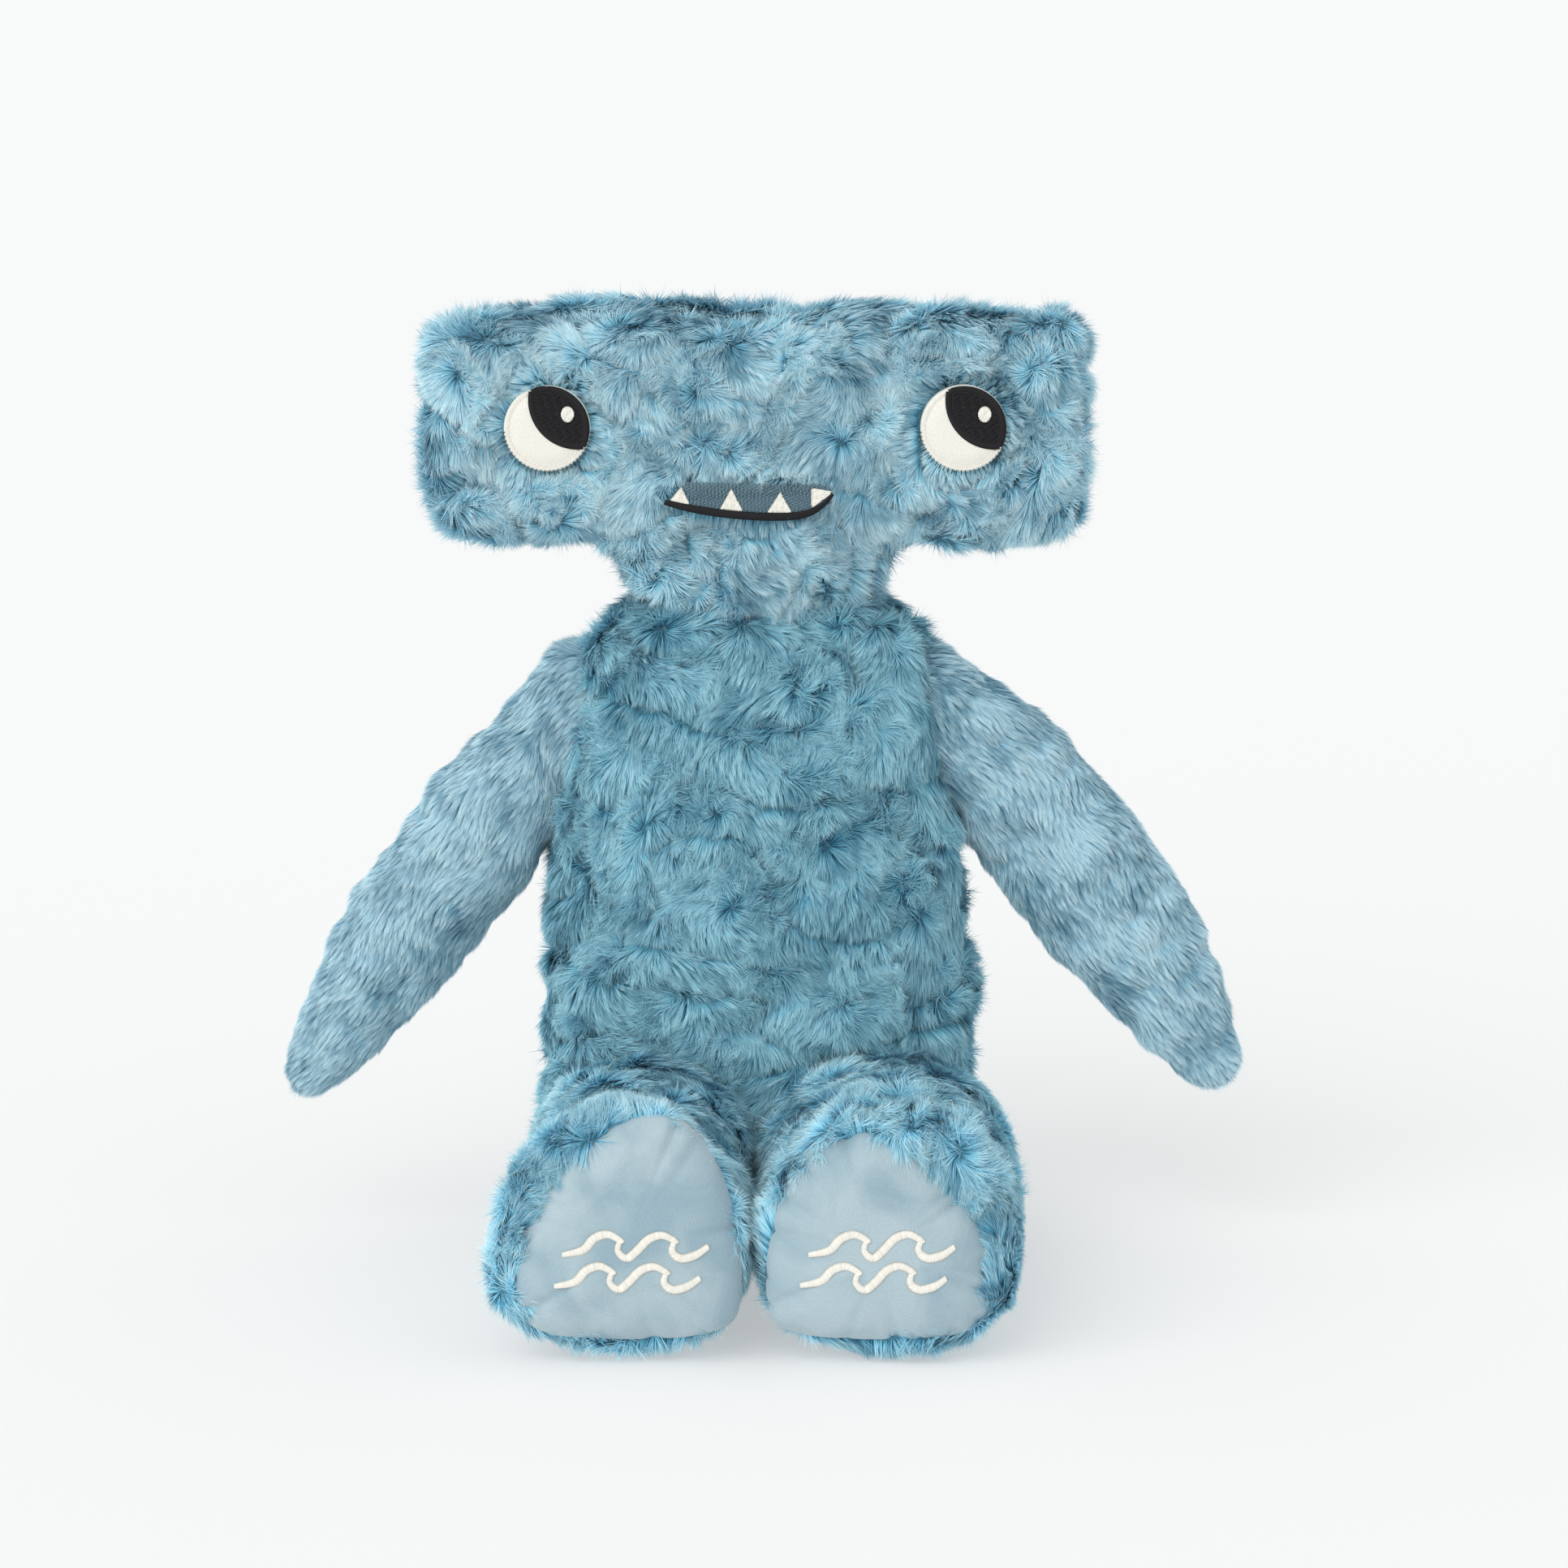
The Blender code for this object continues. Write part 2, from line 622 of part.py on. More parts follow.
def tooth_outline(index):
    """A triangle that stands on the lip, with its tip over its middle or over its left edge."""
    middle, lean = TOOTH_PLACES[index]
    half = TOOTH_WIDTH / 2
    foot = LIP_THICKNESS / 2 + 2 * GAP
    base = [(x, lip_height(x) + foot) for x in (middle - half, middle + half)]
    tip = middle + half * lean
    return [*base, (tip, lip_height(tip) + foot + TOOTH_HEIGHT)]


def build_face(joint):
    """The eyes and the mouth, each layer GAP in front of the one below. Returns the pockets cut for them."""
    front = -HEAD_DEPTH / 2
    floor = front + EYE_SUNK
    pockets = []
    for side, sign in (("left", 1), ("right", -1)):
        centre = (sign * EYE_SPACING / 2, NECK_AXIS.z + EYE_RISE)
        radius = EYE_DIAMETER / 2
        pocket = prism(disc(centre, radius + GAP, radius + GAP), floor, FAR)
        pockets.append(new_object(f"{side}_eye_pocket", pocket, joint))
        new_object(
            f"{side}_eye_white", prism(disc(centre, radius, radius), floor - GAP, FELT), joint,
            "felt_cream",
        )
        level = floor - 2 * GAP - FELT
        new_object(
            f"{side}_pupil", prism(pupil_outline(centre), level, FELT), joint, "felt_black"
        )
        glint = (centre[0] + GLINT_OFFSET[0], centre[1] + GLINT_OFFSET[1])
        new_object(
            f"{side}_glint",
            prism(disc(glint, GLINT_SIZE[0] / 2, GLINT_SIZE[1] / 2, 12), level - GAP - FELT, SATIN),
            joint, "thread_cream",
        )
    line = lip_line()
    lip = ribbon(line, LIP_THICKNESS, LIP_TAPER)
    line[0] -= (line[1] - line[0]).normalized() * MOUTH_MARGIN
    line[-1] += (line[-1] - line[-2]).normalized() * MOUTH_MARGIN
    around = ribbon(line, LIP_THICKNESS + 2 * MOUTH_MARGIN)
    pockets.append(new_object("lip_pocket", prism(around, floor, FAR), joint))
    pockets.append(new_object("mouth_pocket", prism(mouth_outline(MOUTH_MARGIN), floor, FAR), joint))
    new_object("lip", prism(lip, floor - GAP, SATIN), joint, "felt_black")
    new_object("mouth_patch", prism(mouth_outline(), floor - GAP, FELT), joint, "mouth_blue")
    for index in range(len(TOOTH_PLACES)):
        new_object(
            f"tooth_{index + 1}", prism(tooth_outline(index), floor - 2 * GAP - FELT, FELT), joint,
            "thread_cream",
        )
    return pockets


def build_head():
    joint = "neck_joint"
    pockets = build_face(joint)
    top = HEAD_LOW - NECK_AXIS.z + 2 * PILE
    stem = new_object("neck_stem", neck_shape(0, top), joint)
    cavity = new_object("head_cavity", hammer_shape(PILE), joint)
    boolean(cavity, "UNION", new_object("neck_cavity", neck_shape(PILE, top + PILE), joint))
    seam = HEAD_DEPTH / 2 - FACE_SEAM
    slices = {
        "head_front_panel": ((-FAR, -FAR, -FAR), (FAR, -seam - GAP / 2, FAR)),
        "head_gusset": ((-FAR, -seam + GAP / 2, HEAD_LOW + GAP / 2), (FAR, seam - GAP / 2, FAR)),
        "neck_gusset": ((-FAR, -seam + GAP / 2, -FAR), (FAR, seam - GAP / 2, HEAD_LOW - GAP / 2)),
        "head_back_panel": ((-FAR, seam + GAP / 2, -FAR), (FAR, FAR, FAR)),
    }
    for name, (low, high) in slices.items():
        cut = cutter_block(f"{name}_slice", low, high, joint)
        panel = new_object(name, hammer_shape(), joint, "fur")
        boolean(panel, "UNION", stem)
        boolean(panel, "DIFFERENCE", cavity)
        boolean(panel, "INTERSECT", cut)
        if name == "head_front_panel":
            boolean(panel, "DIFFERENCE", *pockets)
    core = new_object("head_stuffing", hammer_shape(PILE + GAP), joint, "fibre")
    inner_stem = new_object("inner_stem", neck_shape(PILE + GAP, top + 2 * PILE), joint)
    boolean(core, "UNION", inner_stem)


# ---------------------------------------------------------------- limbs and fin
def build_arm(side):
    joint = f"{side}_shoulder_joint"
    cavity = new_object(f"{side}_arm_cavity", on_side(arm_shape(PILE), side), joint)
    for name, low, high in (("front", -FAR, -GAP / 2), ("back", GAP / 2, FAR)):
        cut = cutter_block(f"{side}_arm_{name}_half", (-FAR, low, -FAR), (FAR, high, FAR), joint)
        panel = new_object(f"{side}_arm_{name}_panel", on_side(arm_shape(), side), joint, "fur")
        boolean(boolean(panel, "DIFFERENCE", cavity), "INTERSECT", cut)
    new_object(f"{side}_arm_stuffing", on_side(arm_shape(PILE + GAP), side), joint, "fibre")


def wave_strokes(row):
    """The lines of one row of waves as lists of (x, z) points round the row's middle: each crest curls over,
    and the next line starts under the curl."""
    start = WAVE_SHEAR * (row - 0.5) - WAVE_LENGTH * (WAVE_CRESTS + WAVE_END[-1][0]) / 2
    shapes = [WAVE_FIRST_FOOT + WAVE_CREST]
    shapes += [WAVE_FOOT + WAVE_CREST] * (WAVE_CRESTS - 1)
    shapes.append(WAVE_FOOT + WAVE_END)
    return [
        [(start + WAVE_LENGTH * (wave + along), WAVE_HEIGHT * up) for along, up in shape]
        for wave, shape in enumerate(shapes)
    ]


def build_waves(side, joint):
    """Two rows of waves on a sole. They break towards the toy's left on both feet."""
    sign = 1 if side == "left" else -1
    middle = sign * (FOOT_WIDTH / 2 + GAP - WAVE_INWARD)
    for row, height in enumerate(WAVE_HEIGHTS):
        for index, stroke in enumerate(wave_strokes(row)):
            line = smooth_line([(middle + x, height + z) for x, z in stroke], 2)
            outline = ribbon(line, WAVE_LINE)
            shape = prism(outline, SOLE_FRONT - GAP, SATIN)
            if index == 0:
                thing = new_object(
                    f"{side}_sole_wave_{row + 1}", shape, joint, "thread_cream"
                )
            else:
                boolean(thing, "UNION", new_object(f"{side}_wave_{row}_{index}", shape, joint))


def build_leg(side):
    joint = f"{side}_hip_joint"
    cavity = new_object(
        f"{side}_leg_cavity", on_side(leg_shape(PILE, 0.02), side), joint
    )
    rim = HIP_AXIS.y - LEG_LENGTH
    opening = new_object(
        f"{side}_sole_opening",
        on_side(loft([sole_section(rim + SOLE_DEPTH + PILE, PILE), sole_section(rim - 0.03, PILE)]), side),
        joint,
    )
    seam = HIP_RADIUS
    for name, low, high in (("lower", -FAR, seam - GAP / 2), ("upper", seam + GAP / 2, FAR)):
        cut = cutter_block(f"{side}_leg_{name}_half", (-FAR, -FAR, low), (FAR, FAR, high), joint)
        panel = new_object(f"{side}_leg_{name}_panel", on_side(leg_shape(), side), joint, "fur")
        boolean(boolean(panel, "DIFFERENCE", cavity, opening), "INTERSECT", cut)
    behind = cutter_block(
        f"{side}_leg_behind_sole", (-FAR, rim + SOLE_DEPTH + GAP, -FAR), (FAR, FAR, FAR), joint
    )
    core = new_object(
        f"{side}_leg_stuffing", on_side(leg_shape(PILE + GAP, 0.01), side), joint, "fibre"
    )
    boolean(core, "INTERSECT", behind)
    pad = sole_shape(GAP, SOLE_DEPTH, SOLE_BULGE)
    new_object(f"{side}_sole", on_side(pad, side), joint, "minky")
    build_waves(side, joint)


def build_fin():
    joint = "dorsal_fin_joint"
    cavity = new_object("dorsal_fin_cavity", fin_shape(FIN_CLOTH), joint)
    for side, low, high in (("left", GAP / 2, FAR), ("right", -FAR, -GAP / 2)):
        cut = cutter_block(f"dorsal_fin_{side}_half", (low, -FAR, -FAR), (high, FAR, FAR), joint)
        panel = new_object(f"dorsal_fin_{side}_panel", fin_shape(), joint, "fur")
        boolean(boolean(panel, "DIFFERENCE", cavity), "INTERSECT", cut)
    new_object("dorsal_fin_stuffing", fin_shape(FIN_CLOTH + GAP), joint, "fibre")


# ---------------------------------------------------------------- assembly
def middle_of_footprint():
    """How far the toy moves along Y, so that the origin is halfway between its soles and its fin."""
    front = SOLE_FRONT - GAP - SATIN
    back = fin_root().y + FIN_REACH
    return -(front + back) / 2


clear_scene()
add_joint("toy_centre", (0, middle_of_footprint(), 0))
add_joint("neck_joint", NECK_AXIS)
add_joint("left_shoulder_joint", SHOULDER_AXIS)
add_joint("right_shoulder_joint", Matrix.Diagonal((-1, 1, 1)) @ SHOULDER_AXIS)
add_joint("left_hip_joint", HIP_AXIS)
add_joint("right_hip_joint", HIP_AXIS)
add_joint("dorsal_fin_joint", fin_root())
build_torso()
build_head()
for toy_side in ("left", "right"):
    build_arm(toy_side)
    build_leg(toy_side)
build_fin()
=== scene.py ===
# %% [markdown]
# # A plush hammerhead shark
#
# This script dresses a finished mechanical model in its looks. The model says where each part is and how it
# moves. Here each part gets a soft skin, and the skins grow fur. The toy faces -Y and sits on z = 0. "left"
# and "right" are the toy's own, so left is +X. Every length is in metres.

# %% Loading the frame
import json
import math

import bmesh
import bpy
import numpy as np
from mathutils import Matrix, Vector, noise
from mathutils.bvhtree import BVHTree

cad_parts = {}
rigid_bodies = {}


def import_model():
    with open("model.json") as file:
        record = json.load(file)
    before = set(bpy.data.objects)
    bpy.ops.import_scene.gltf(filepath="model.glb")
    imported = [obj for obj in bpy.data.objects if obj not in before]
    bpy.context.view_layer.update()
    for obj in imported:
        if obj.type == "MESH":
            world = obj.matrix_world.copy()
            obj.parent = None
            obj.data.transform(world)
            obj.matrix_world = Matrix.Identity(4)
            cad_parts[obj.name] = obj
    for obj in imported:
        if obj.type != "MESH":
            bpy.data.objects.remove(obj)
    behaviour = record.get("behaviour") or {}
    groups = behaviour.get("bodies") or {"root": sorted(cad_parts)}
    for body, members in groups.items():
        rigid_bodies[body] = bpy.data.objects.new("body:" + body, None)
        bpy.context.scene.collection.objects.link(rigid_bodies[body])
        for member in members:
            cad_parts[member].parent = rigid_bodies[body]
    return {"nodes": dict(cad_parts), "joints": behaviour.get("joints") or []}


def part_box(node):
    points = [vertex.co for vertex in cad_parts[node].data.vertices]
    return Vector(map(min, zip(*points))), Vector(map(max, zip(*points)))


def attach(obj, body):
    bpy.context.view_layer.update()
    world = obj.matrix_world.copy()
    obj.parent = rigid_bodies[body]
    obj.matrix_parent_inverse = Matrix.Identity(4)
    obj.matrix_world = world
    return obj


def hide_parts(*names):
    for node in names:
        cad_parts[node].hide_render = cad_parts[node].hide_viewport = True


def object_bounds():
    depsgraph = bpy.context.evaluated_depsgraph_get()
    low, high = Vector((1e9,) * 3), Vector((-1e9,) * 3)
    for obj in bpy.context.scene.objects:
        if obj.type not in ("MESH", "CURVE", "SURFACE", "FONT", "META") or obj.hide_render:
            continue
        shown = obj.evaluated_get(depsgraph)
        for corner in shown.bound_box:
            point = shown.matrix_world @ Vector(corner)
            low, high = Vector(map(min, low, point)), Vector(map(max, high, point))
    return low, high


for leftover in list(bpy.data.objects):
    bpy.data.objects.remove(leftover)
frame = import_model()
cad_low, cad_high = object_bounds()
pivots = {joint["name"]: Vector(joint["pos_m"]) for joint in frame["joints"]}
neck, hip = pivots["neck_nod"], pivots["left_hip_fold"]
print("the frame is", [round(side, 4) for side in cad_high - cad_low], "m")

# %% [markdown]
# ## Camera, floor and light
#
# A long lens from nearly two metres away keeps the head and the feet in proportion. It looks down by ten
# degrees, and the floor is so wide that no horizon shows. A bright, even world does most of the lighting, as
# a white studio does. A sun with a very wide disc stands in for a large soft window in front of the toy, on
# its right: unlike a lamp, it lights the whole floor evenly. The floor glows a little, as a photographer's
# lit table does, and that keeps the shadows pale.

# %% Camera and stage
scene = bpy.context.scene
LOOK_DOWN = math.radians(10)
CAMERA_DISTANCE = 1.9
camera_data = bpy.data.cameras.new("camera")
camera_data.lens, camera_data.sensor_width = 110.6, 36
camera = bpy.data.objects.new("camera", camera_data)
scene.collection.objects.link(camera)
target = Vector((0.0109, neck.y, 0.48 * cad_high.z))
camera.location = target + CAMERA_DISTANCE * Vector((0, -math.cos(LOOK_DOWN), math.sin(LOOK_DOWN)))
camera.rotation_euler = (math.pi / 2 - LOOK_DOWN, 0, 0)
scene.camera = camera
scene.view_settings.view_transform = "Standard"

world = bpy.data.worlds.new("studio")
scene.world = world
world.use_nodes = True
world.node_tree.nodes["Background"].inputs["Color"].default_value = (0.985, 0.995, 1.0, 1)
world.node_tree.nodes["Background"].inputs["Strength"].default_value = 0.80

window = bpy.data.lights.new("window", "SUN")
window.energy, window.angle, window.color = 1.5, math.radians(60), (1.0, 0.99, 0.97)
window_holder = bpy.data.objects.new("window", window)
scene.collection.objects.link(window_holder)
window_holder.rotation_euler = Vector((0.50, 0.70, -0.55)).to_track_quat("-Z", "Y").to_euler()

bpy.ops.mesh.primitive_plane_add(size=120)
floor = bpy.context.object
floor.name = "floor"
floor_paint = bpy.data.materials.new("floor_paint")
floor_paint.use_nodes = True
floor_shader = floor_paint.node_tree.nodes["Principled BSDF"]
floor_shader.inputs["Base Color"].default_value = (0.50, 0.505, 0.505, 1)
floor_shader.inputs["Emission Color"].default_value = (1.0, 1.0, 1.0, 1)
floor_shader.inputs["Emission Strength"].default_value = 0.42
floor_shader.inputs["Roughness"].default_value = 0.9
floor_shader.inputs["Specular IOR Level"].default_value = 0.0
floor.data.materials.append(floor_paint)

# %% [markdown]
# ## Building node trees
#
# Materials and Geometry Nodes are both graphs, and both are made with this one helper. It adds a node, sets
# its options, and fills each input with a number or with a link from another node.


# %% A helper for nodes
def add(tree, kind, inputs=None, **options):
    made = tree.nodes.new(kind)
    for option, value in options.items():
        setattr(made, option, value)
    for key, value in (inputs or {}).items():
        if isinstance(value, bpy.types.NodeSocket):
            tree.links.new(value, made.inputs[key])
        else:
            made.inputs[key].default_value = value
    return made


def new_material(name, colour, roughness, sheen=0.0):
    """A material and its tree and shader, for a finish to be built on."""
    made = bpy.data.materials.new(name)
    made.use_nodes = True
    shader = made.node_tree.nodes["Principled BSDF"]
    shader.inputs["Base Color"].default_value = (*colour, 1)
    shader.inputs["Roughness"].default_value = roughness
    shader.inputs["Sheen Weight"].default_value = sheen
    shader.inputs["Sheen Roughness"].default_value = 0.5
    shader.inputs["Specular IOR Level"].default_value = 0.25
    return made, made.node_tree, shader


def colour_ramp(tree, factor, stops):
    """A ramp from (place, colour) pairs."""
    ramp = add(tree, "ShaderNodeValToRGB", {"Fac": factor})
    elements = ramp.color_ramp.elements
    while len(elements) < len(stops):
        elements.new(0.5)
    for element, (place, colour) in zip(elements, stops):
        element.position = place
        element.color = (*colour, 1)
    return ramp.outputs["Color"]


# %% [markdown]
# ## The finishes
#
# The fur's colour depends on where a point is along its strand: deep blue at the root, where little light
# comes, and pale at the tip. A second number gives each lock its own tone. Both are stored with the strands
# as a map named "strand", so the material needs no picture.
#
# Felt and cloth get their fine surface from noise in Object coordinates, at the real size of the fibres.


# %% Fur, felt, cloth and thread
def strand_finish(name, along_stops, dark_tone, roughness, sheen):
    """A finish whose colour follows the strand map: v runs along a hair or a thread, u is its own tone."""
    made, tree, shader = new_material(name, along_stops[-1][1], roughness, sheen)
    strand = add(tree, "ShaderNodeUVMap", uv_map="strand")
    parts = add(tree, "ShaderNodeSeparateXYZ", {"Vector": strand.outputs["UV"]})
    along = colour_ramp(tree, parts.outputs["Y"], along_stops)
    tone = colour_ramp(tree, parts.outputs["X"], ((0.0, dark_tone), (1.0, (1.0, 1.0, 1.0))))
    mixed = add(tree, "ShaderNodeMix", data_type="RGBA", blend_type="MULTIPLY")
    mixed.inputs[0].default_value = 1.0
    tree.links.new(along, mixed.inputs[6])
    tree.links.new(tone, mixed.inputs[7])
    tree.links.new(mixed.outputs[2], shader.inputs["Base Color"])
    return made


def fur_finish(name, root, middle, tip):
    return strand_finish(name, ((0.0, root), (0.38, middle), (1.0, tip)), (0.28, 0.46, 0.55), 0.60, 0.12)


def thread_finish(name, dark, light, roughness=0.45, sheen=0.1):
    """Painted shade: thread is darker where it dives into the cloth, at both ends of a stitch."""
    stops = ((0.0, dark), (0.2, light), (0.8, light), (1.0, dark))
    return strand_finish(name, stops, (0.84, 0.84, 0.84), roughness, sheen)


def grain(tree, shader, scale, strength, distance, colours, detail=3.0):
    """Noise in the piece's own space, as a colour variation and as a bump."""
    place = add(tree, "ShaderNodeTexCoord").outputs["Object"]
    texture = add(tree, "ShaderNodeTexNoise", {"Vector": place, "Scale": scale, "Detail": detail})
    tree.links.new(colour_ramp(tree, texture.outputs["Fac"], colours), shader.inputs["Base Color"])
    bump = add(tree, "ShaderNodeBump", {"Strength": strength, "Distance": distance,
                                        "Height": texture.outputs["Fac"]})
    tree.links.new(bump.outputs["Normal"], shader.inputs["Normal"])
    return place, texture


# Painted light and shade: the toy has one fur, and these are lit and shaded copies of it. The body's is
# darker, as painted shade; the legs' is lighter, as painted light against the shade that the torso casts on
# them; the head's and the arms' each match the light on those parts.
head_fur = fur_finish("head_fur", (0.05, 0.23, 0.34), (0.35, 0.74, 0.90), (0.86, 0.99, 1.0))
shaded_body_fur = fur_finish("shaded_body_fur", (0.03, 0.18, 0.28), (0.20, 0.53, 0.68), (0.58, 0.90, 0.97))
arm_fur = fur_finish("arm_fur", (0.06, 0.22, 0.33), (0.31, 0.62, 0.78), (0.80, 0.97, 1.0))
lit_leg_fur = fur_finish("lit_leg_fur", (0.06, 0.28, 0.42), (0.35, 0.80, 0.99), (0.80, 0.99, 1.0))
# The backing cloth is the fur's blue, darkened as painted shade deep in the pile.
backing, backing_tree, backing_shader = new_material("fur_backing", (0.10, 0.24, 0.31), 0.95)
grain(backing_tree, backing_shader, 900, 0.4, 0.001, ((0.3, (0.08, 0.20, 0.27)), (0.7, (0.13, 0.29, 0.37))))

mouth_cloth, tree, shader = new_material("mouth_cloth", (0.10, 0.18, 0.23), 0.9)
grain(tree, shader, 1800, 0.3, 0.0003, ((0.3, (0.07, 0.13, 0.17)), (0.7, (0.13, 0.22, 0.28))))
felt_cream, tree, shader = new_material("felt_cream", (0.86, 0.84, 0.77), 0.95, 0.3)
grain(tree, shader, 1500, 0.35, 0.0004, ((0.3, (0.73, 0.71, 0.64)), (0.7, (0.83, 0.82, 0.76))))
minky, tree, shader = new_material("minky", (0.43, 0.55, 0.63), 0.85, 0.5)
place, _ = grain(tree, shader, 1500, 0.7, 0.0006, ((0.3, (0.31, 0.42, 0.49)), (0.7, (0.41, 0.51, 0.57))))
cloud = add(tree, "ShaderNodeTexNoise", {"Vector": place, "Scale": 38, "Detail": 4.0, "Distortion": 0.6})
cloudy = colour_ramp(tree, cloud.outputs["Fac"], ((0.36, (0.26, 0.39, 0.46)), (0.50, (0.36, 0.48, 0.53)),
                                                  (0.62, (0.43, 0.54, 0.59))))
blended = add(tree, "ShaderNodeMix", data_type="RGBA", blend_type="MIX")
blended.inputs[0].default_value = 0.75
tree.links.new(shader.inputs["Base Color"].links[0].from_socket, blended.inputs[6])
tree.links.new(cloudy, blended.inputs[7])
tree.links.new(blended.outputs[2], shader.inputs["Base Color"])


thread_cream = thread_finish("thread_cream", (0.60, 0.57, 0.49), (0.88, 0.86, 0.79))
thread_black = thread_finish("thread_black", (0.003, 0.003, 0.004), (0.009, 0.009, 0.011), 0.55, 0.0)
thread_brown = thread_finish("thread_brown", (0.012, 0.010, 0.011), (0.040, 0.030, 0.030), 0.6, 0.0)
thread_mouth = thread_finish("thread_mouth", (0.02, 0.05, 0.07), (0.135, 0.225, 0.275))
print(len(bpy.data.materials), "materials")

# %% [markdown]
# ## Soft shapes from rings
#
# A stuffed part is close to a row of rounded sections. Each section is a superellipse: power 2 is an ellipse,
# and a higher power is squarer. The sections are skinned into a closed loft. Lofts that belong together, such
# as the head's crosspiece and its neck, are fused by a voxel remesh. Then the skin is stuffed as the real one
# is: a short Cloth simulation blows it up, with a limit on how far it may swell. Last comes a finer remesh,
# which gives the even mesh that the fur needs.


# %% Rings, lofts and skins
PRESSURE, STEPS, COARSE = 4.0, 20, 0.005


def superellipse(sides, power, taper=0.0):
    """Points (u, v) round a superellipse of half sizes 1. taper narrows it towards +v."""
    angle = np.arange(sides) * 2 * math.pi / sides
    u = np.sign(np.cos(angle)) * np.abs(np.cos(angle)) ** (2 / power)
    v = np.sign(np.sin(angle)) * np.abs(np.sin(angle)) ** (2 / power)
    u = u * (1 - taper * v)
    return u / u.max(), v


def ring(centre, across, along, half_across, half_along, power=2.0, taper=0.0, sides=48):
    u, v = superellipse(sides, power, taper)
    return (np.array(centre) + np.outer(u * half_across, np.array(across))
            + np.outer(v * half_along, np.array(along)))


def bridge(shape, rows):
    """Faces between each closed row of vertices and the next."""
    for row, after in zip(rows, rows[1:]):
        for i in range(len(row)):
            j = (i + 1) % len(row)
            shape.faces.new((row[i], row[j], after[j], after[i]))


def loft(shape, rings):
    """Adds a closed loft through rings of corners to a bmesh."""
    rows = [[shape.verts.new(corner) for corner in corners] for corners in rings]
    bridge(shape, rows)
    shape.faces.new(rows[0][::-1])
    shape.faces.new(rows[-1])


def new_piece(name, mesh, material=None):
    piece = bpy.data.objects.new(name, mesh)
    scene.collection.objects.link(piece)
    if material:
        mesh.materials.clear()
        mesh.materials.append(material)
    return piece


def mesh_from(shape, name):
    mesh = bpy.data.meshes.new(name)
    shape.to_mesh(mesh)
    shape.free()
    return mesh


def solid(name, lofts, material, smooth=True):
    """A piece of closed lofts."""
    shape = bmesh.new()
    for rings in lofts:
        loft(shape, rings)
    bmesh.ops.recalc_face_normals(shape, faces=shape.faces)
    mesh = mesh_from(shape, name)
    if smooth:
        mesh.shade_smooth()
    return new_piece(name, mesh, material)


def evaluated_mesh(piece):
    """The piece's mesh as its modifiers leave it."""
    graph = bpy.context.evaluated_depsgraph_get()
    graph.update()
    return bpy.data.meshes.new_from_object(piece.evaluated_get(graph), depsgraph=graph)


def apply_modifiers(piece):
    mesh = evaluated_mesh(piece)
    piece.modifiers.clear()
    piece.data = mesh


def remeshed(piece, voxel, rounds):
    """Gives the piece an even mesh and softens it."""
    remesh = piece.modifiers.new("even", "REMESH")
    remesh.mode, remesh.voxel_size, remesh.use_smooth_shade = "VOXEL", voxel, True
    smooth = piece.modifiers.new("soft", "SMOOTH")
    smooth.factor, smooth.iterations = 0.5, rounds
    apply_modifiers(piece)


def stuff(piece, swell):
    """Fills the skin like a bag, by Cloth with pressure. No point moves further than swell."""
    start, normals = read_points(piece.data), read_points(piece.data, "normal")
    fill = piece.modifiers.new("fill", "CLOTH")
    fill.settings.use_pressure = True
    fill.settings.uniform_pressure_force = PRESSURE
    fill.settings.effector_weights.gravity = 0
    fill.point_cache.frame_start, fill.point_cache.frame_end = 1, STEPS
    for step in range(1, STEPS + 1):
        scene.frame_set(step)
    moved = read_points(evaluated_mesh(piece)) - start
    piece.modifiers.clear()
    scene.frame_set(1)
    distance = np.linalg.norm(moved, axis=1)
    print(f"{piece.name} swells by {1000 * distance.mean():.1f} mm before the limit")
    write_points(piece.data, start + moved * np.minimum(1, swell / np.maximum(distance, 1e-9))[:, None])


def skin(name, lofts, voxel=0.0032, rounds=6, swell=0.0040):
    """One closed, even skin round several lofts, filled tight."""
    piece = solid(name, lofts, backing)
    remeshed(piece, COARSE, 2)
    stuff(piece, swell)
    remeshed(piece, voxel, rounds)
    piece.data.materials.clear()
    piece.data.materials.append(backing)
    return piece


def read_points(mesh, field="co"):
    values = np.zeros(len(mesh.vertices) * 3, np.float32)
    mesh.vertices.foreach_get(field, values)
    return values.reshape(-1, 3).astype(float)


def write_points(mesh, points):
    mesh.vertices.foreach_set("co", points.astype(np.float32).ravel())
    mesh.update()


def store(mesh, name, values):
    """Stores a number or a vector for each point, under a name."""
    values = np.asarray(values, np.float32)
    kind, field = ("FLOAT", "value") if values.ndim == 1 else ("FLOAT_VECTOR", "vector")
    attribute = mesh.attributes.get(name) or mesh.attributes.new(name, kind, "POINT")
    attribute.data.foreach_set(field, values.ravel())


def lumps(piece, size, height, seed):
    """Uneven stuffing: the skin moves in and out by noise of a given size."""
    points, normals = read_points(piece.data), read_points(piece.data, "normal")
    shift = Vector((seed * 7.3, seed * 3.1, seed * 5.7))
    amount = np.array([noise.noise(Vector(p) / size + shift) for p in points])
    write_points(piece.data, points + normals * (amount * height)[:, None])


def creases(piece, sizes, depth, seed):
    """Winding valleys, along the lines where a noise changes sign. sizes are its sizes along X, Y and Z."""
    points, normals = read_points(piece.data), read_points(piece.data, "normal")
    shift = Vector((seed * 2.9, seed * 8.3, seed * 4.1))
    valley = np.array([abs(noise.noise(Vector(p / sizes) + shift)) for p in points])
    write_points(piece.data, points - normals * (depth * np.exp(-((valley / 0.10) ** 2)))[:, None])


# %% [markdown]
# ## The five stuffed bodies
#
# The sizes come from the frame's boxes. Each skin lies under the fur, so that the tips of the strands end
# where the mechanical model's surface is. The roots of the arms, the legs and the neck are round and reach
# into the torso, so that they stay covered when they turn.

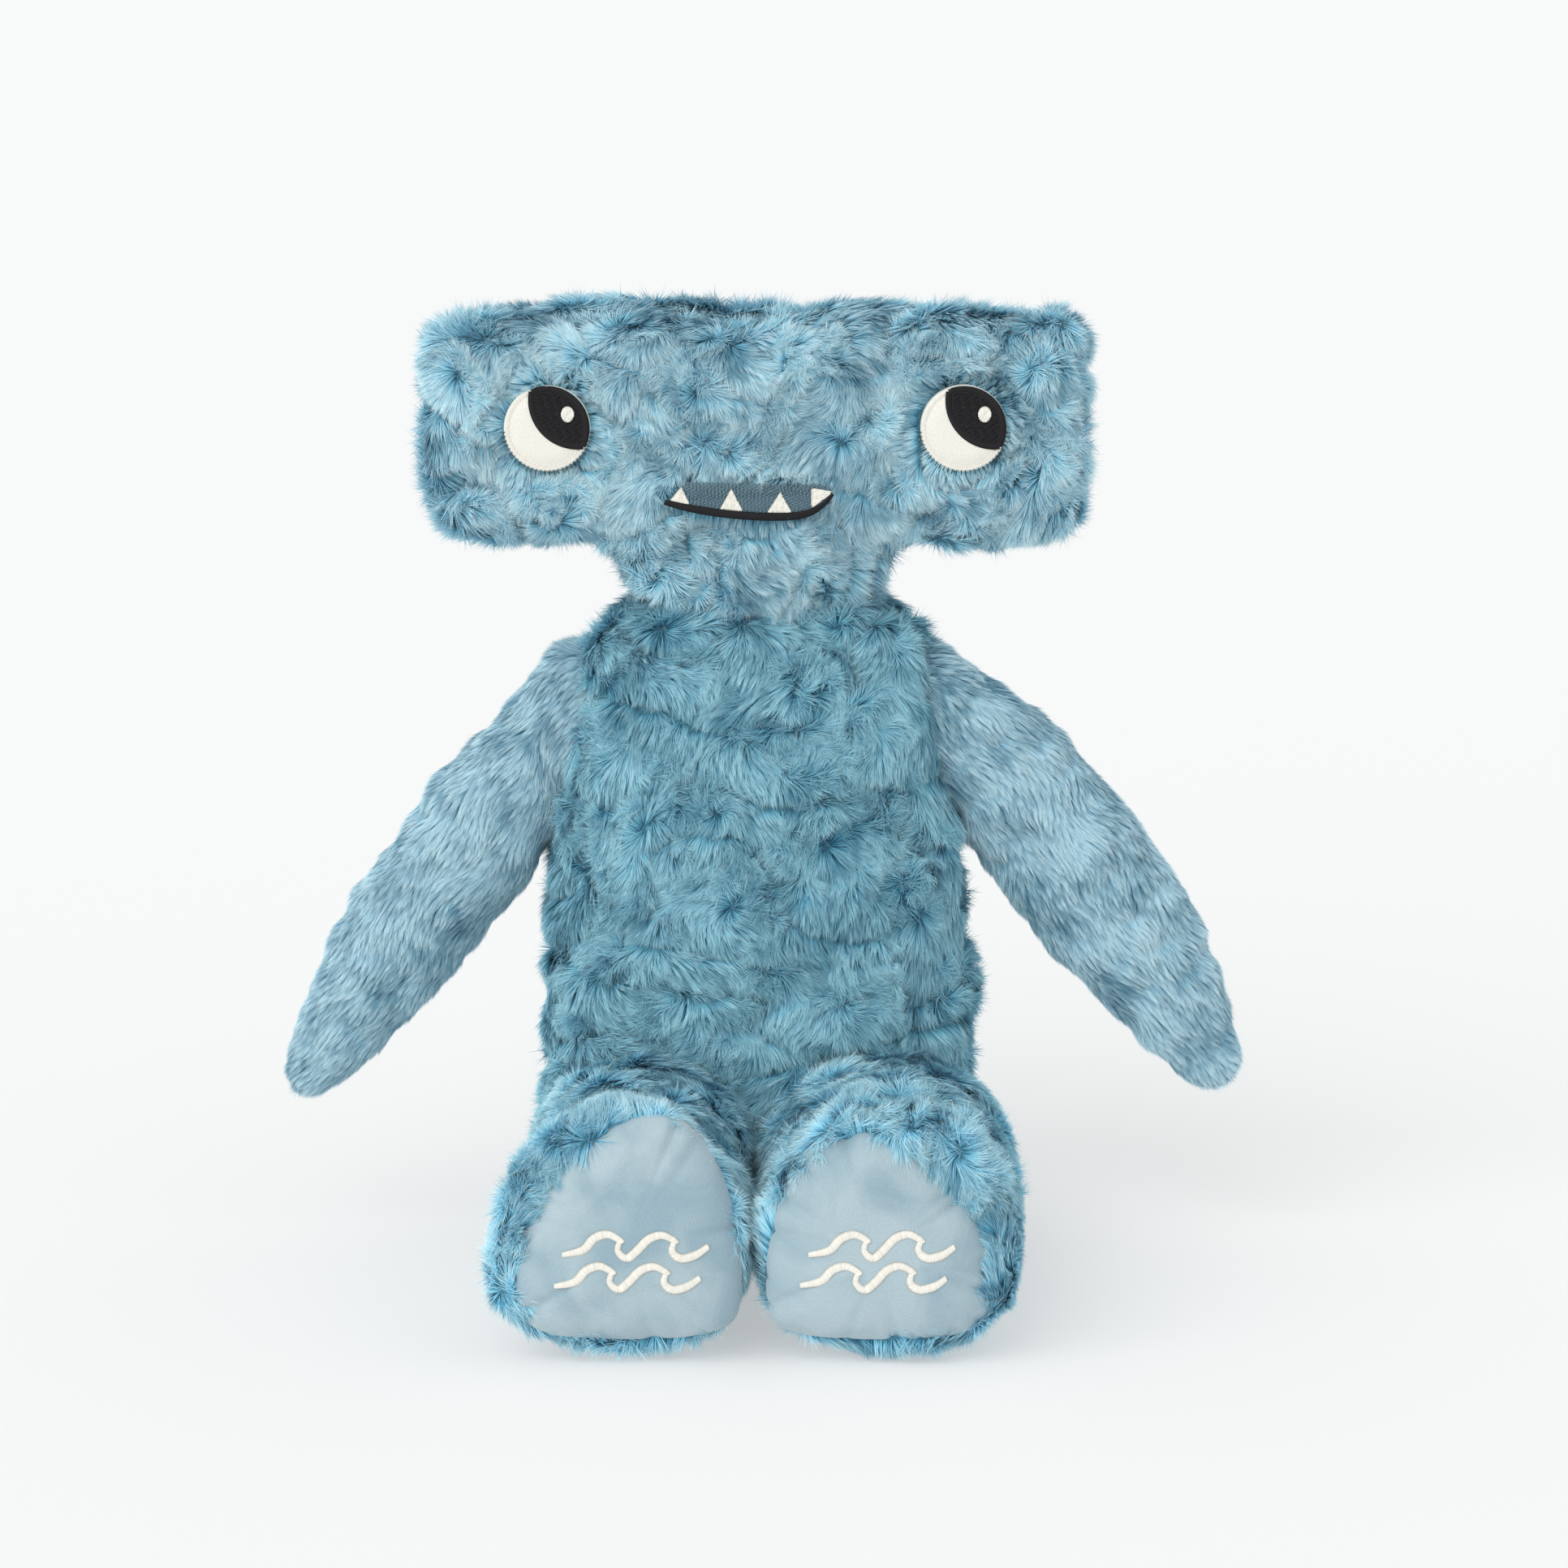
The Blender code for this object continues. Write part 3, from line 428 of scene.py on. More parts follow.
# %% Sizes of the skins
X, Y, Z = np.eye(3)
PILE = 0.0085
ABOVE_FLOOR = 0.0003
REACH = 0.0048  # how far out the tips of leaning strands come
ARM_PILE = 0.0050
FIN_PILE = 0.0050


def size_of(*nodes):
    """The size and the middle of the box round several nodes."""
    corners = [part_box(node) for node in nodes]
    low = Vector(min(box[0][i] for box in corners) for i in range(3))
    high = Vector(max(box[1][i] for box in corners) for i in range(3))
    return high - low, (low + high) / 2


torso_size, _ = size_of("torso_front_panel", "torso_back_panel", "seat_panel")
hammer_size, hammer_middle = size_of("head_gusset")
head_depth = size_of("head_front_panel", "head_back_panel")[0].y
leg_size, leg_middle = size_of("left_leg_upper_panel", "left_leg_lower_panel")
print("torso", [round(side, 3) for side in torso_size], "hammer", [round(side, 3) for side in hammer_size])


# %% Torso and head
# height, width and depth of each section, as shares of the torso's
TORSO_SECTIONS = (
    (0.000, 0.66, 0.62), (0.018, 0.84, 0.82), (0.050, 0.96, 0.95), (0.110, 1.00, 1.00), (0.250, 1.005, 1.02),
    (0.420, 1.00, 1.00), (0.594, 0.97, 0.95), (0.697, 0.93, 0.89), (0.812, 0.91, 0.82), (0.900, 0.87, 0.75),
    (0.960, 0.80, 0.68), (1.000, 0.71, 0.62), (1.028, 0.58, 0.50),
)
rings = []
for height, width, depth in TORSO_SECTIONS:
    centre = (0, neck.y, max(0.0045, height * torso_size.z - PILE * max(0, height - 0.5)))
    rings.append(ring(centre, X, Y, torso_size.x / 2 * width - REACH, torso_size.y / 2 * depth - REACH, 2.3))
torso_skin = skin("torso_skin", [rings])

# distance from the middle, drop of the top, rise of the underside and depth, as shares
HEAD_SECTIONS = (
    (0.00, 0.015, 0.000, 1.00), (0.40, 0.010, 0.010, 1.00), (0.66, 0.000, 0.020, 0.99),
    (0.80, 0.004, 0.030, 0.97), (0.88, 0.012, 0.045, 0.93), (0.94, 0.030, 0.080, 0.86),
    (0.98, 0.060, 0.130, 0.74), (1.00, 0.110, 0.200, 0.60),
)
hammer_low = hammer_middle.z - hammer_size.z / 2 - 0.004
chest_low = 0.48 * torso_size.z
half_width = hammer_size.x / 2 - REACH - 0.0015
rings = []
for out, drop, rise, depth in [(-row[0], *row[1:]) for row in HEAD_SECTIONS[:0:-1]] + list(HEAD_SECTIONS):
    top = hammer_middle.z + hammer_size.z * (0.5 - drop) - PILE + 0.0010
    bottom = hammer_low + hammer_size.z * rise + PILE
    centre = (half_width * out, neck.y, (top + bottom) / 2)
    rings.append(ring(centre, Y, Z, head_depth / 2 * depth - PILE, (top - bottom) / 2, 4.4))
neck_width, neck_depth = 0.056 - REACH, 0.042 - REACH
neck_rings = []
for degrees in (-80, -60, -40, -20, 0):
    drop, share = math.sin(math.radians(degrees)), math.cos(math.radians(degrees))
    neck_rings.append(ring(neck + Vector((0, 0, neck_depth * drop)), X, Y, neck_width * share,
                           neck_depth * share))
neck_rings.append(ring((0, neck.y, hammer_low + 0.03), X, Y, neck_width * 1.02, neck_depth))
head_skin = skin("head_skin", [rings, neck_rings], rounds=6, swell=0.0025)
print(len(torso_skin.data.vertices), "points on the torso,", len(head_skin.data.vertices), "on the head")

# %% Arms, legs and fin
ARM_DIRECTION = math.radians(34.3)
ARM_LENGTH, ARM_WIDTH, ARM_THICKNESS, SHOULDER = 0.2005, 0.061, 0.054, 0.027
# distance along, width, thickness and bow outwards, as shares
ARM_SECTIONS = (
    (0.20, 0.92, 0.97, 0.020), (0.43, 1.00, 1.00, 0.028), (0.60, 0.97, 0.90, 0.037),
    (0.76, 0.82, 0.74, 0.038), (0.90, 0.62, 0.52, 0.034), (0.97, 0.52, 0.42, 0.028),
    (1.00, 0.36, 0.32, 0.024),
)


def arm_rings(sign):
    """The left arm is stuffed a little fuller than the right one."""
    fuller = 1.10 if sign > 0 else 1.0
    pivot = np.array(pivots["left_shoulder_lift"]) * (sign, 1, 1)
    down = np.array((sign * math.sin(ARM_DIRECTION), 0, -math.cos(ARM_DIRECTION)))
    out = np.array((sign * math.cos(ARM_DIRECTION), 0, math.sin(ARM_DIRECTION)))
    rings = []
    for degrees in (-75, -50, -25, 0):
        drop, share = math.sin(math.radians(degrees)), math.cos(math.radians(degrees))
        root = SHOULDER - ARM_PILE
        rings.append(ring(pivot + down * root * drop, out, Y, root * share, root * share))
    for along, width, thickness, bow in ARM_SECTIONS:
        bow += 0.3 * (fuller - 1)
        centre = pivot + down * (ARM_LENGTH - ARM_PILE) * along + out * bow * ARM_LENGTH
        half_width = max(ARM_WIDTH / 2 * width * fuller - ARM_PILE, 0.003)
        half_thickness = max(ARM_THICKNESS / 2 * thickness - ARM_PILE, 0.003)
        rings.append(ring(centre, out, Y, half_width, half_thickness, 2.2))
    return rings


# distance from the hip as a share of the length, and how much of a foot each section is
LEG_SECTIONS = ((0.36, 0.0), (0.68, 0.05), (0.78, 0.45), (0.87, 0.93), (0.93, 1.00), (0.975, 0.94))
FOOT_TAPER = 0.17
HIP_RADIUS = hip.z
leg_length = hip.y - (leg_middle.y - leg_size.y / 2)


def leg_rings(sign):
    """A leg and its foot. The left leg is a little fuller, as the left arm is."""
    narrow, wide = 0.088 + (0.012 if sign > 0 else 0.0), leg_size.x
    rings = []
    for degrees in (80, 60, 40, 20, 0):
        back, share = math.sin(math.radians(degrees)), math.cos(math.radians(degrees))
        root = HIP_RADIUS - PILE
        centre = (sign * (narrow / 2 + 0.0003), hip.y + root * back, hip.z)
        rings.append(ring(centre, X, Z, (narrow / 2 - REACH * 0.8) * share, root * share, 2.2))
    for along, foot in LEG_SECTIONS:
        half_width = (narrow + (wide - narrow) * foot) / 2 - REACH * (0.9 - 0.05 * foot)
        half_height = HIP_RADIUS + (leg_size.z / 2 - HIP_RADIUS) * foot
        middle = narrow / 2 + (wide - narrow) / 2 * foot - 0.0015 * foot
        centre = (sign * middle, hip.y - leg_length * along, half_height)
        half_height -= PILE * (1 - 0.45 * foot)
        rings.append(ring(centre, X, Z, half_width, half_height, 2.3, FOOT_TAPER * foot))
    return rings


fin_root = pivots["dorsal_fin_bend"]
fin_axis = np.array(next(j["axis"] for j in frame["joints"] if j["name"] == "dorsal_fin_bend"), float)
fin_size, fin_middle = size_of("dorsal_fin_left_panel", "dorsal_fin_right_panel")
FIN_SECTIONS = (
    (-0.20, 0.80, 0.60, 0.0), (0.0, 1.00, 0.90, 0.0), (0.20, 0.94, 0.90, 0.05), (0.40, 0.80, 0.84, 0.20),
    (0.62, 0.60, 0.74, 0.48), (0.85, 0.38, 0.60, 0.82), (1.00, 0.24, 0.46, 1.00),
)
reach = fin_middle.y + fin_size.y / 2 - fin_root.y
rings = []
for out, height, thickness, drop in FIN_SECTIONS:
    centre = np.array(fin_root) + Y * (reach - FIN_PILE) * out - fin_axis * fin_size.z * 0.30 * drop
    rings.append(ring(centre, fin_axis, X, fin_size.z / 2 * height - FIN_PILE,
                      max(fin_size.x / 2 * thickness - FIN_PILE, 0.0025), 2.2))
skins = {"torso": torso_skin, "head": head_skin,
         "dorsal_fin": skin("dorsal_fin_skin", [rings], 0.0025, 3, swell=0.0015)}
for side, sign in (("left", 1), ("right", -1)):
    skins[f"{side}_arm"] = skin(f"{side}_arm_skin", [arm_rings(sign)], 0.0028, 4, swell=0.0020)
    skins[f"{side}_leg"] = skin(f"{side}_leg_skin", [leg_rings(sign)], 0.0030, 4, swell=0.0030)
BROAD, NARROW = 0.034, 0.012  # the sizes of the lumps
for number, (body, piece) in enumerate(skins.items()):
    lumps(piece, BROAD, 0.0045 if body in ("torso", "head") else 0.0022, number + 1)
    lumps(piece, NARROW, 0.0020, number + 11)
creases(torso_skin, np.array((0.060, 0.060, 0.021)), 0.0058, 21)
creases(head_skin, np.array((0.030, 0.030, 0.036)), 0.0048, 22)
for piece in skins.values():
    points = read_points(piece.data)
    points[:, 2] = np.maximum(points[:, 2], ABOVE_FLOOR)
    write_points(piece.data, points)
print({body: len(piece.data.vertices) for body, piece in skins.items()})

# %% [markdown]
# ## Which way the fur lies
#
# Long pile never lies evenly. It is brushed downwards, and handling turns it into fans and whorls. Each point
# of a skin gets a combing vector: a main direction, plus the pull of many whorls that are scattered over the
# skin with a fixed seed. Near the middle of a whorl the vector is short, and there the strands stand up.


# %% Combing
def scattered(points, spacing, seed):
    """Some of the points, no two closer than the spacing."""
    order = np.random.default_rng(seed).permutation(len(points))
    chosen = np.empty((0, 3))
    for index in order:
        if len(chosen) == 0 or np.min(np.sum((chosen - points[index]) ** 2, 1)) > spacing**2:
            chosen = np.vstack([chosen, points[index]])
    return chosen


def flattened(vectors, normals):
    """The part of each vector that lies along the surface."""
    return vectors - normals * np.sum(vectors * normals, 1)[:, None]


def comb(piece, main, whorl_size, whorl_strength, seed):
    """Stores the combing vector of each point. main gives the main direction at each point."""
    mesh = piece.data
    points, normals = read_points(mesh), read_points(mesh, "normal")
    for name in ("growth", "density"):
        store(mesh, name, np.ones(len(points)))
    centres = scattered(points, whorl_size, seed)
    turns = np.random.default_rng(seed + 1).uniform(-1.0, 1.0, len(centres))
    total = flattened(main(points, normals), normals)
    for centre, turn in zip(centres, turns):
        away = flattened(points - centre, normals) / (0.55 * whorl_size)
        reach = np.exp(-np.sum(away**2, 1) * 0.9)[:, None]
        whorl = away * math.cos(turn) + np.cross(normals, away) * math.sin(turn)
        total += 1.9 * whorl_strength * reach * whorl
    length = np.linalg.norm(total, axis=1)[:, None]
    store(mesh, "comb", total / np.maximum(length, 1e-6) * np.clip(length, 0.8, 1.0))
    return len(centres)


def steady(direction, weight):
    return lambda points, normals: np.tile(np.array(direction) * weight, (len(points), 1))


def arm_flow(sign):
    down = np.array((sign * math.sin(ARM_DIRECTION), 0, -math.cos(ARM_DIRECTION)))
    return steady(down, 0.95)


def head_flow(points, normals):
    """Down the front and the back, outwards at the ends, and back over the top."""
    flow = np.tile(-Z * 0.50, (len(points), 1))
    flow[:, 0] += np.clip(points[:, 0] / half_width, -1, 1) * 0.35
    flow += np.outer(np.clip(normals[:, 2], 0, 1), -Y * 0.5)
    return flow


def smooth_line(points, steps=6, closed=False):
    """Points on a Catmull-Rom curve through a row of points."""
    rows = [np.array(point, float) for point in points]
    if closed:
        rows = [rows[-1], *rows, rows[0], rows[1]]
    else:
        rows = [2 * rows[0] - rows[1], *rows, 2 * rows[-1] - rows[-2]]
    line = []
    for a, b, c, d in zip(rows, rows[1:], rows[2:], rows[3:]):
        for t in np.arange(steps) / steps:
            line.append(0.5 * (2 * b + (c - a) * t + (2 * a - 5 * b + 4 * c - d) * t**2
                               + (3 * b - a - 3 * c + d) * t**3))
    if not closed:
        line.append(rows[-2])
    return np.array(line)


# a sole's outline, outwards and up, as shares of the half width and the height
SOLE_SHAPE = (
    (0.99, 0.22), (0.94, 0.44), (0.74, 0.66), (0.44, 0.84), (0.12, 0.96), (-0.18, 1.00), (-0.48, 0.97),
    (-0.74, 0.83), (-0.90, 0.64), (-0.99, 0.42), (-1.00, 0.22), (-0.93, 0.08), (-0.66, 0.02), (-0.25, 0.0),
    (0.20, 0.0), (0.66, 0.02), (0.93, 0.09),
)


def sole_outline(sign):
    """The seam round a sole as (x, z) points, and the point that its rings shrink to. Fur hides more of the
    left sole's top than of the right one's."""
    low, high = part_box("left_sole")
    half, height = (high.x - low.x) / 2 + 0.0006, (high.z - low.z + 0.003) * (0.94 if sign > 0 else 1.0)
    middle = (low.x + high.x) / 2 - 0.0045
    line = smooth_line([(sign * (middle + half * u), low.z + height * v) for u, v in SOLE_SHAPE], 9, True)
    return line, np.array((sign * middle, low.z + 0.46 * height))


def from_sole(points):
    """How far each point is from the middle of its foot's sole: 1 is at the seam. Also the way outwards."""
    share, outwards = np.zeros(len(points)), np.zeros((len(points), 3))
    for sign in (1, -1):
        line, core = sole_outline(sign)
        seam, own = line - core, points[:, 0] * sign >= 0
        turns, reach = np.arctan2(seam[:, 1], seam[:, 0]), np.linalg.norm(seam, axis=1)
        spokes = points[own][:, (0, 2)] - core
        distance = np.maximum(np.linalg.norm(spokes, axis=1), 1e-6)
        share[own] = distance / np.interp(np.arctan2(spokes[:, 1], spokes[:, 0]), turns, reach,
                                          period=2 * math.pi)
        outwards[np.ix_(own, (0, 2))] = spokes / distance[:, None]
    return share, outwards


def leg_flow(points, normals):
    """Towards the foot and a little down, and outwards from the sole on the foot's rim."""
    outwards = from_sole(points)[1]
    rim = np.clip(-normals[:, 1] * 1.6 - 0.3, 0, 1)[:, None]
    return np.tile(-Y * 0.6 - Z * 0.25, (len(points), 1)) * (1 - rim) + outwards * 0.5 * rim


# main direction, size and strength of the whorls, and seed
COMBING = {
    "torso": (steady(-Z, 0.70), 0.026, 0.90, 11), "head": (head_flow, 0.028, 1.00, 21),
    "dorsal_fin": (steady((0, 0.8, -0.4), 1.0), 0.02, 0.3, 31),
    "left_arm": (arm_flow(1), 0.024, 0.35, 42), "left_leg": (leg_flow, 0.025, 0.7, 52),
    "right_arm": (arm_flow(-1), 0.024, 0.35, 40), "right_leg": (leg_flow, 0.025, 0.7, 50),
}
print("whorls:", {body: comb(skins[body], *how) for body, how in COMBING.items()})

# %% [markdown]
# ## Growing the fur
#
# One strand is a single narrow triangle. Bent blades look better one by one, but the pile is so dense that
# only the tips show, and then number counts for more than shape. A Geometry Nodes tree scatters points over
# a skin, and puts a strand on each. The strand leans from the surface's normal towards the combing vector. A
# Voronoi texture divides the skin into cells, and each strand also leans to the middle of its cell: that
# gathers the strands into small pointed locks with dark partings between them. Strands that would go through
# the floor are pressed flat on it.
#
# The alternative is Blender's hair system. It renders more strands, but hair is lost when a model is
# exported, and blades are ordinary mesh.


# %% One strand
def pattern(name, mesh, along, side):
    """A hidden piece to be copied. "along" runs from one end to the other and "side" across."""
    store(mesh, "along", along)
    store(mesh, "side", side)
    piece = new_piece(name, mesh)
    piece.hide_render = piece.hide_viewport = True
    return piece


def make_strand():
    """A blade 1 high."""
    mesh = bpy.data.meshes.new("strand")
    mesh.from_pydata([(0, -0.5, 0), (0, 0.5, 0), (0.08, 0, 1)], [], [(1, 0, 2)])
    return pattern("strand", mesh, (0, 0, 1), (0, 1, 0.5))


# %% The tree that grows it
def tree_with_inputs(name, inputs):
    """An empty Geometry Nodes tree, its input node, its output node and the inputs' identifiers."""
    tree = bpy.data.node_groups.new(name, "GeometryNodeTree")
    tree.interface.new_socket("Geometry", in_out="INPUT", socket_type="NodeSocketGeometry")
    tree.interface.new_socket("Geometry", in_out="OUTPUT", socket_type="NodeSocketGeometry")
    identifiers = {}
    for label, kind in inputs:
        socket = tree.interface.new_socket(label, in_out="INPUT", socket_type=f"NodeSocket{kind}")
        identifiers[label] = socket.identifier
    return tree, tree.nodes.new("NodeGroupInput"), tree.nodes.new("NodeGroupOutput"), identifiers


def maths(tree, operation, a, b=0.0):
    return add(tree, "ShaderNodeMath", {0: a, 1: b}, operation=operation).outputs[0]


def vector_maths(tree, operation, a, b=None, scale=None):
    inputs = {0: a}
    if b is not None:
        inputs[1] = b
    if scale is not None:
        inputs["Scale"] = scale
    made = add(tree, "ShaderNodeVectorMath", inputs, operation=operation)
    return made.outputs["Value" if operation == "DOT_PRODUCT" else "Vector"]


def random_number(tree, low, high, seed):
    made = add(tree, "FunctionNodeRandomValue", {"Seed": seed}, data_type="FLOAT")
    made.inputs[2].default_value, made.inputs[3].default_value = low, high
    return made.outputs[1]


def random_vector(tree, reach, seed):
    made = add(tree, "FunctionNodeRandomValue", {"Seed": seed}, data_type="FLOAT_VECTOR")
    made.inputs[0].default_value, made.inputs[1].default_value = (-reach,) * 3, (reach,) * 3
    return made.outputs[0]


def named(tree, name, kind="FLOAT"):
    made = add(tree, "GeometryNodeInputNamedAttribute", {"Name": name}, data_type=kind)
    return made.outputs["Attribute"]


def stored(tree, geometry, name, value, kind="FLOAT", domain="POINT"):
    made = add(tree, "GeometryNodeStoreNamedAttribute", {"Geometry": geometry, "Name": name, "Value": value},
               data_type=kind, domain=domain)
    return made.outputs["Geometry"]


def placed(tree, points, pattern, rotation, scale):
    """A copy of the pattern on each point, as one mesh."""
    one = add(tree, "GeometryNodeObjectInfo", {"Object": pattern, "As Instance": True})
    copies = add(tree, "GeometryNodeInstanceOnPoints", {
        "Points": points, "Instance": one.outputs["Geometry"], "Rotation": rotation, "Scale": scale})
    return add(tree, "GeometryNodeRealizeInstances", {"Geometry": copies.outputs["Instances"]}).outputs[0]


def with_strand_map(tree, whole, spares, finish):
    """Stores the map that the strand finishes read, and a copy for baking. Drops the spare attributes."""
    across = maths(tree, "ADD", named(tree, "tone"), maths(tree, "MULTIPLY", named(tree, "side"), 0.02))
    chart = add(tree, "ShaderNodeCombineXYZ", {"X": across, "Y": named(tree, "along")}).outputs[0]
    for name in ("strand", "OFBake"):
        whole = stored(tree, whole, name, chart, "FLOAT2", "CORNER")
    for spare in spares:
        whole = add(tree, "GeometryNodeRemoveAttribute", {"Geometry": whole, "Name": spare}).outputs[0]
    return add(tree, "GeometryNodeSetMaterial", {"Geometry": whole, "Material": finish}).outputs[0]


def make_fur_tree():
    tree, given, result, identifiers = tree_with_inputs("grow_fur", (
        ("Strands per square metre", "Float"), ("Length", "Float"), ("Width", "Float"), ("Lean", "Float"),
        ("Lock size", "Float"), ("Lock pull", "Float"), ("Seed", "Int"), ("Strand", "Object"),
        ("Finish", "Material"),
    ))
    value = given.outputs
    density = maths(tree, "MULTIPLY", value["Strands per square metre"], named(tree, "density"))
    points = add(tree, "GeometryNodeDistributePointsOnFaces",
                 {"Mesh": value["Geometry"], "Density": density, "Seed": value["Seed"]},
                 distribute_method="RANDOM")
    normal = points.outputs["Normal"]
    cloud = stored(tree, points.outputs["Points"], "up", normal, "FLOAT_VECTOR")
    place = add(tree, "GeometryNodeInputPosition").outputs[0]
    up, lie = named(tree, "up", "FLOAT_VECTOR"), named(tree, "comb", "FLOAT_VECTOR")
    cells = add(tree, "ShaderNodeTexVoronoi", {
        "Vector": place, "Scale": maths(tree, "DIVIDE", 1.0, value["Lock size"]), "Randomness": 1.0})
    to_middle = vector_maths(tree, "SUBTRACT", cells.outputs["Position"], place)
    height = vector_maths(tree, "DOT_PRODUCT", to_middle, up)
    to_middle = vector_maths(tree, "SUBTRACT", to_middle, vector_maths(tree, "SCALE", up, scale=height))
    gather = vector_maths(tree, "SCALE", to_middle, scale=maths(
        tree, "DIVIDE", value["Lock pull"], value["Length"]))
    lean = vector_maths(tree, "SCALE", lie, scale=value["Lean"])
    upright = vector_maths(tree, "SCALE", up, scale=maths(tree, "SUBTRACT", 1.0, maths(
        tree, "MULTIPLY", value["Lean"], 0.55)))
    direction = vector_maths(tree, "ADD", vector_maths(tree, "ADD", lean, upright), gather)
    direction = vector_maths(tree, "ADD", direction, random_vector(tree, 0.06, 3))
    turn = add(tree, "FunctionNodeAxesToRotation", {0: direction, 1: vector_maths(
        tree, "ADD", lie, random_vector(tree, 0.25, 4))}, primary_axis="Z", secondary_axis="X")
    length = maths(tree, "MULTIPLY", value["Length"], random_number(tree, 0.72, 1.12, 5))
    length = maths(tree, "MULTIPLY", length, named(tree, "growth"))
    size = add(tree, "ShaderNodeCombineXYZ", {"X": length, "Y": value["Width"], "Z": length}).outputs[0]
    broad = add(tree, "ShaderNodeTexNoise", {"Vector": place, "Scale": 55.0, "Detail": 4.0}).outputs["Fac"]
    lock_tone = add(tree, "ShaderNodeSeparateXYZ", {0: cells.outputs["Color"]}).outputs["X"]
    tone = maths(tree, "ADD", maths(tree, "MULTIPLY", lock_tone, 0.75), random_number(tree, -0.12, 0.12, 6))
    tone = maths(tree, "ADD", tone, maths(tree, "MULTIPLY", maths(tree, "SUBTRACT", broad, 0.38), 2.6))
    cloud = stored(tree, cloud, "tone", maths(tree, "MAXIMUM", maths(tree, "MINIMUM", tone, 0.97), 0.0))
    whole = placed(tree, cloud, value["Strand"], turn.outputs[0], size)
    where = add(tree, "ShaderNodeSeparateXYZ", {0: add(tree, "GeometryNodeInputPosition").outputs[0]}).outputs
    above_floor = add(tree, "ShaderNodeCombineXYZ", {
        "X": where["X"], "Y": where["Y"], "Z": maths(tree, "MAXIMUM", where["Z"], ABOVE_FLOOR)}).outputs[0]
    whole = add(tree, "GeometryNodeSetPosition", {"Geometry": whole, "Position": above_floor}).outputs[0]
    spares = ("up", "comb", "tone", "side", "along", "density", "growth")
    tree.links.new(with_strand_map(tree, whole, spares, value["Finish"]), result.inputs["Geometry"])
    return tree, identifiers


def run_tree(piece, grown, **settings):
    """Runs a tree on a piece, which becomes a plain mesh. Underscores in the settings stand for spaces."""
    tree, identifiers = grown
    modifier = piece.modifiers.new(tree.name, "NODES")
    modifier.node_group = tree
    for label, value in settings.items():
        modifier[identifiers[label.replace("_", " ")]] = value
    apply_modifiers(piece)


strand = make_strand()
fur_tree = make_fur_tree()


# %% Growing one panel's fur
def grow(name, piece, keep, finish, **settings):
    """Fur on the faces of a skin whose middle and normal pass keep. Returns the fur as a plain mesh piece."""
    shape = bmesh.new()
    shape.from_mesh(piece.data)
    shape.normal_update()
    spare = [face for face in shape.faces if not keep(face.calc_center_median(), face.normal)]
    bmesh.ops.delete(shape, geom=spare, context="FACES")
    cloth = mesh_from(shape, name)
    patch = new_piece(name, cloth)
    run_tree(patch, fur_tree, Strand=strand, Finish=finish, **settings)
    bpy.data.meshes.remove(cloth)
    print(f"{name}: {len(patch.data.polygons)} strands")
    return patch


# %% [markdown]
# ### Where the face shows
#
# The fur leaves room for the eyes and the mouth. Each point of the head's skin gets a density, which is zero
# behind a felt eye or the mouth. Next to them the strands are combed away, so that few lie across the edge.

# %% Clearings for the eyes and the mouth
eyes = {side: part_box(f"{side}_eye_white") for side in ("left", "right")}
mouth_low, mouth_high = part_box("mouth_patch")
lip_low, lip_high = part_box("lip")
eye_radius = (eyes["left"][1].x - eyes["left"][0].x) / 2
face_y = eyes["left"][0].y
points = read_points(head_skin.data)
lie = np.zeros(len(points) * 3, np.float32)
head_skin.data.attributes["comb"].data.foreach_get("vector", lie)
lie = lie.reshape(-1, 3)
density, growth = np.ones(len(points)), np.ones(len(points))
front = points[:, 1] < neck.y
EYE_FRINGE, EYE_OVERLAP = 0.007, 0.001  # fur that is combed off an eye, and fur that lies on its edge
BROW, BEARD = 0.009, 0.006  # fur that is combed down above the mouth and below it
for low, high in eyes.values():
    middle = np.array((low + high) / 2)
    away = points - middle
    away[:, 1] = 0
    distance = np.linalg.norm(away, axis=1)
    near = front & (distance < eye_radius + EYE_FRINGE)
    lie[near] = 0.45 * lie[near] + 0.55 * away[near] / distance[near][:, None]
    growth[near] = 0.65
    density[front & (distance < eye_radius - EYE_OVERLAP)] = 0
middle, half = (mouth_low + mouth_high) / 2, (mouth_high - mouth_low) / 2
across = (points[:, 0] - middle.x) / half.x
upward = points[:, 2] - middle.z
lip_curve = lip_low.z - middle.z + 0.0015 + (lip_high.z - lip_low.z - 0.004) * np.abs(across) ** 3
beside_mouth = front & (np.abs(across) < 1.12)
density[beside_mouth & (np.abs(across) < 1.02) & (upward > lip_curve) & (upward < half.z - 0.0010)] = 0
above = beside_mouth & (upward > 0) & (upward < half.z + BROW)
lie[above] = 0.5 * lie[above] - np.array((0, 0, 0.25))
growth[above] = 0.55
below = beside_mouth & (upward < lip_curve + 0.001) & (upward > lip_curve - BEARD)
lie[below] = 0.3 * lie[below] - np.array((0, 0, 0.7))
growth[below] = 0.6
for name, values in (("comb", lie), ("density", density), ("growth", growth)):
    store(head_skin.data, name, values)
print("cleared", int((density == 0).sum()), "points")

# %% Fur for every panel
SEAM = head_depth / 2 - 0.01555  # from the head's middle to its two seams
HEM = 0.010  # the fur starts this high, where the torso stands on its seat
LONG = {"Length": 0.0092, "Width": 0.00046, "Lean": 1.10, "Lock_size": 0.0026, "Lock_pull": 0.85}
SHORT = {"Length": 0.0074, "Width": 0.00042, "Lean": 1.15, "Lock_size": 0.0024, "Lock_pull": 0.75}


def off_the_sole(place, normal):
    return normal.y > -0.8 or from_sole(np.array([place]))[0][0] > 0.94


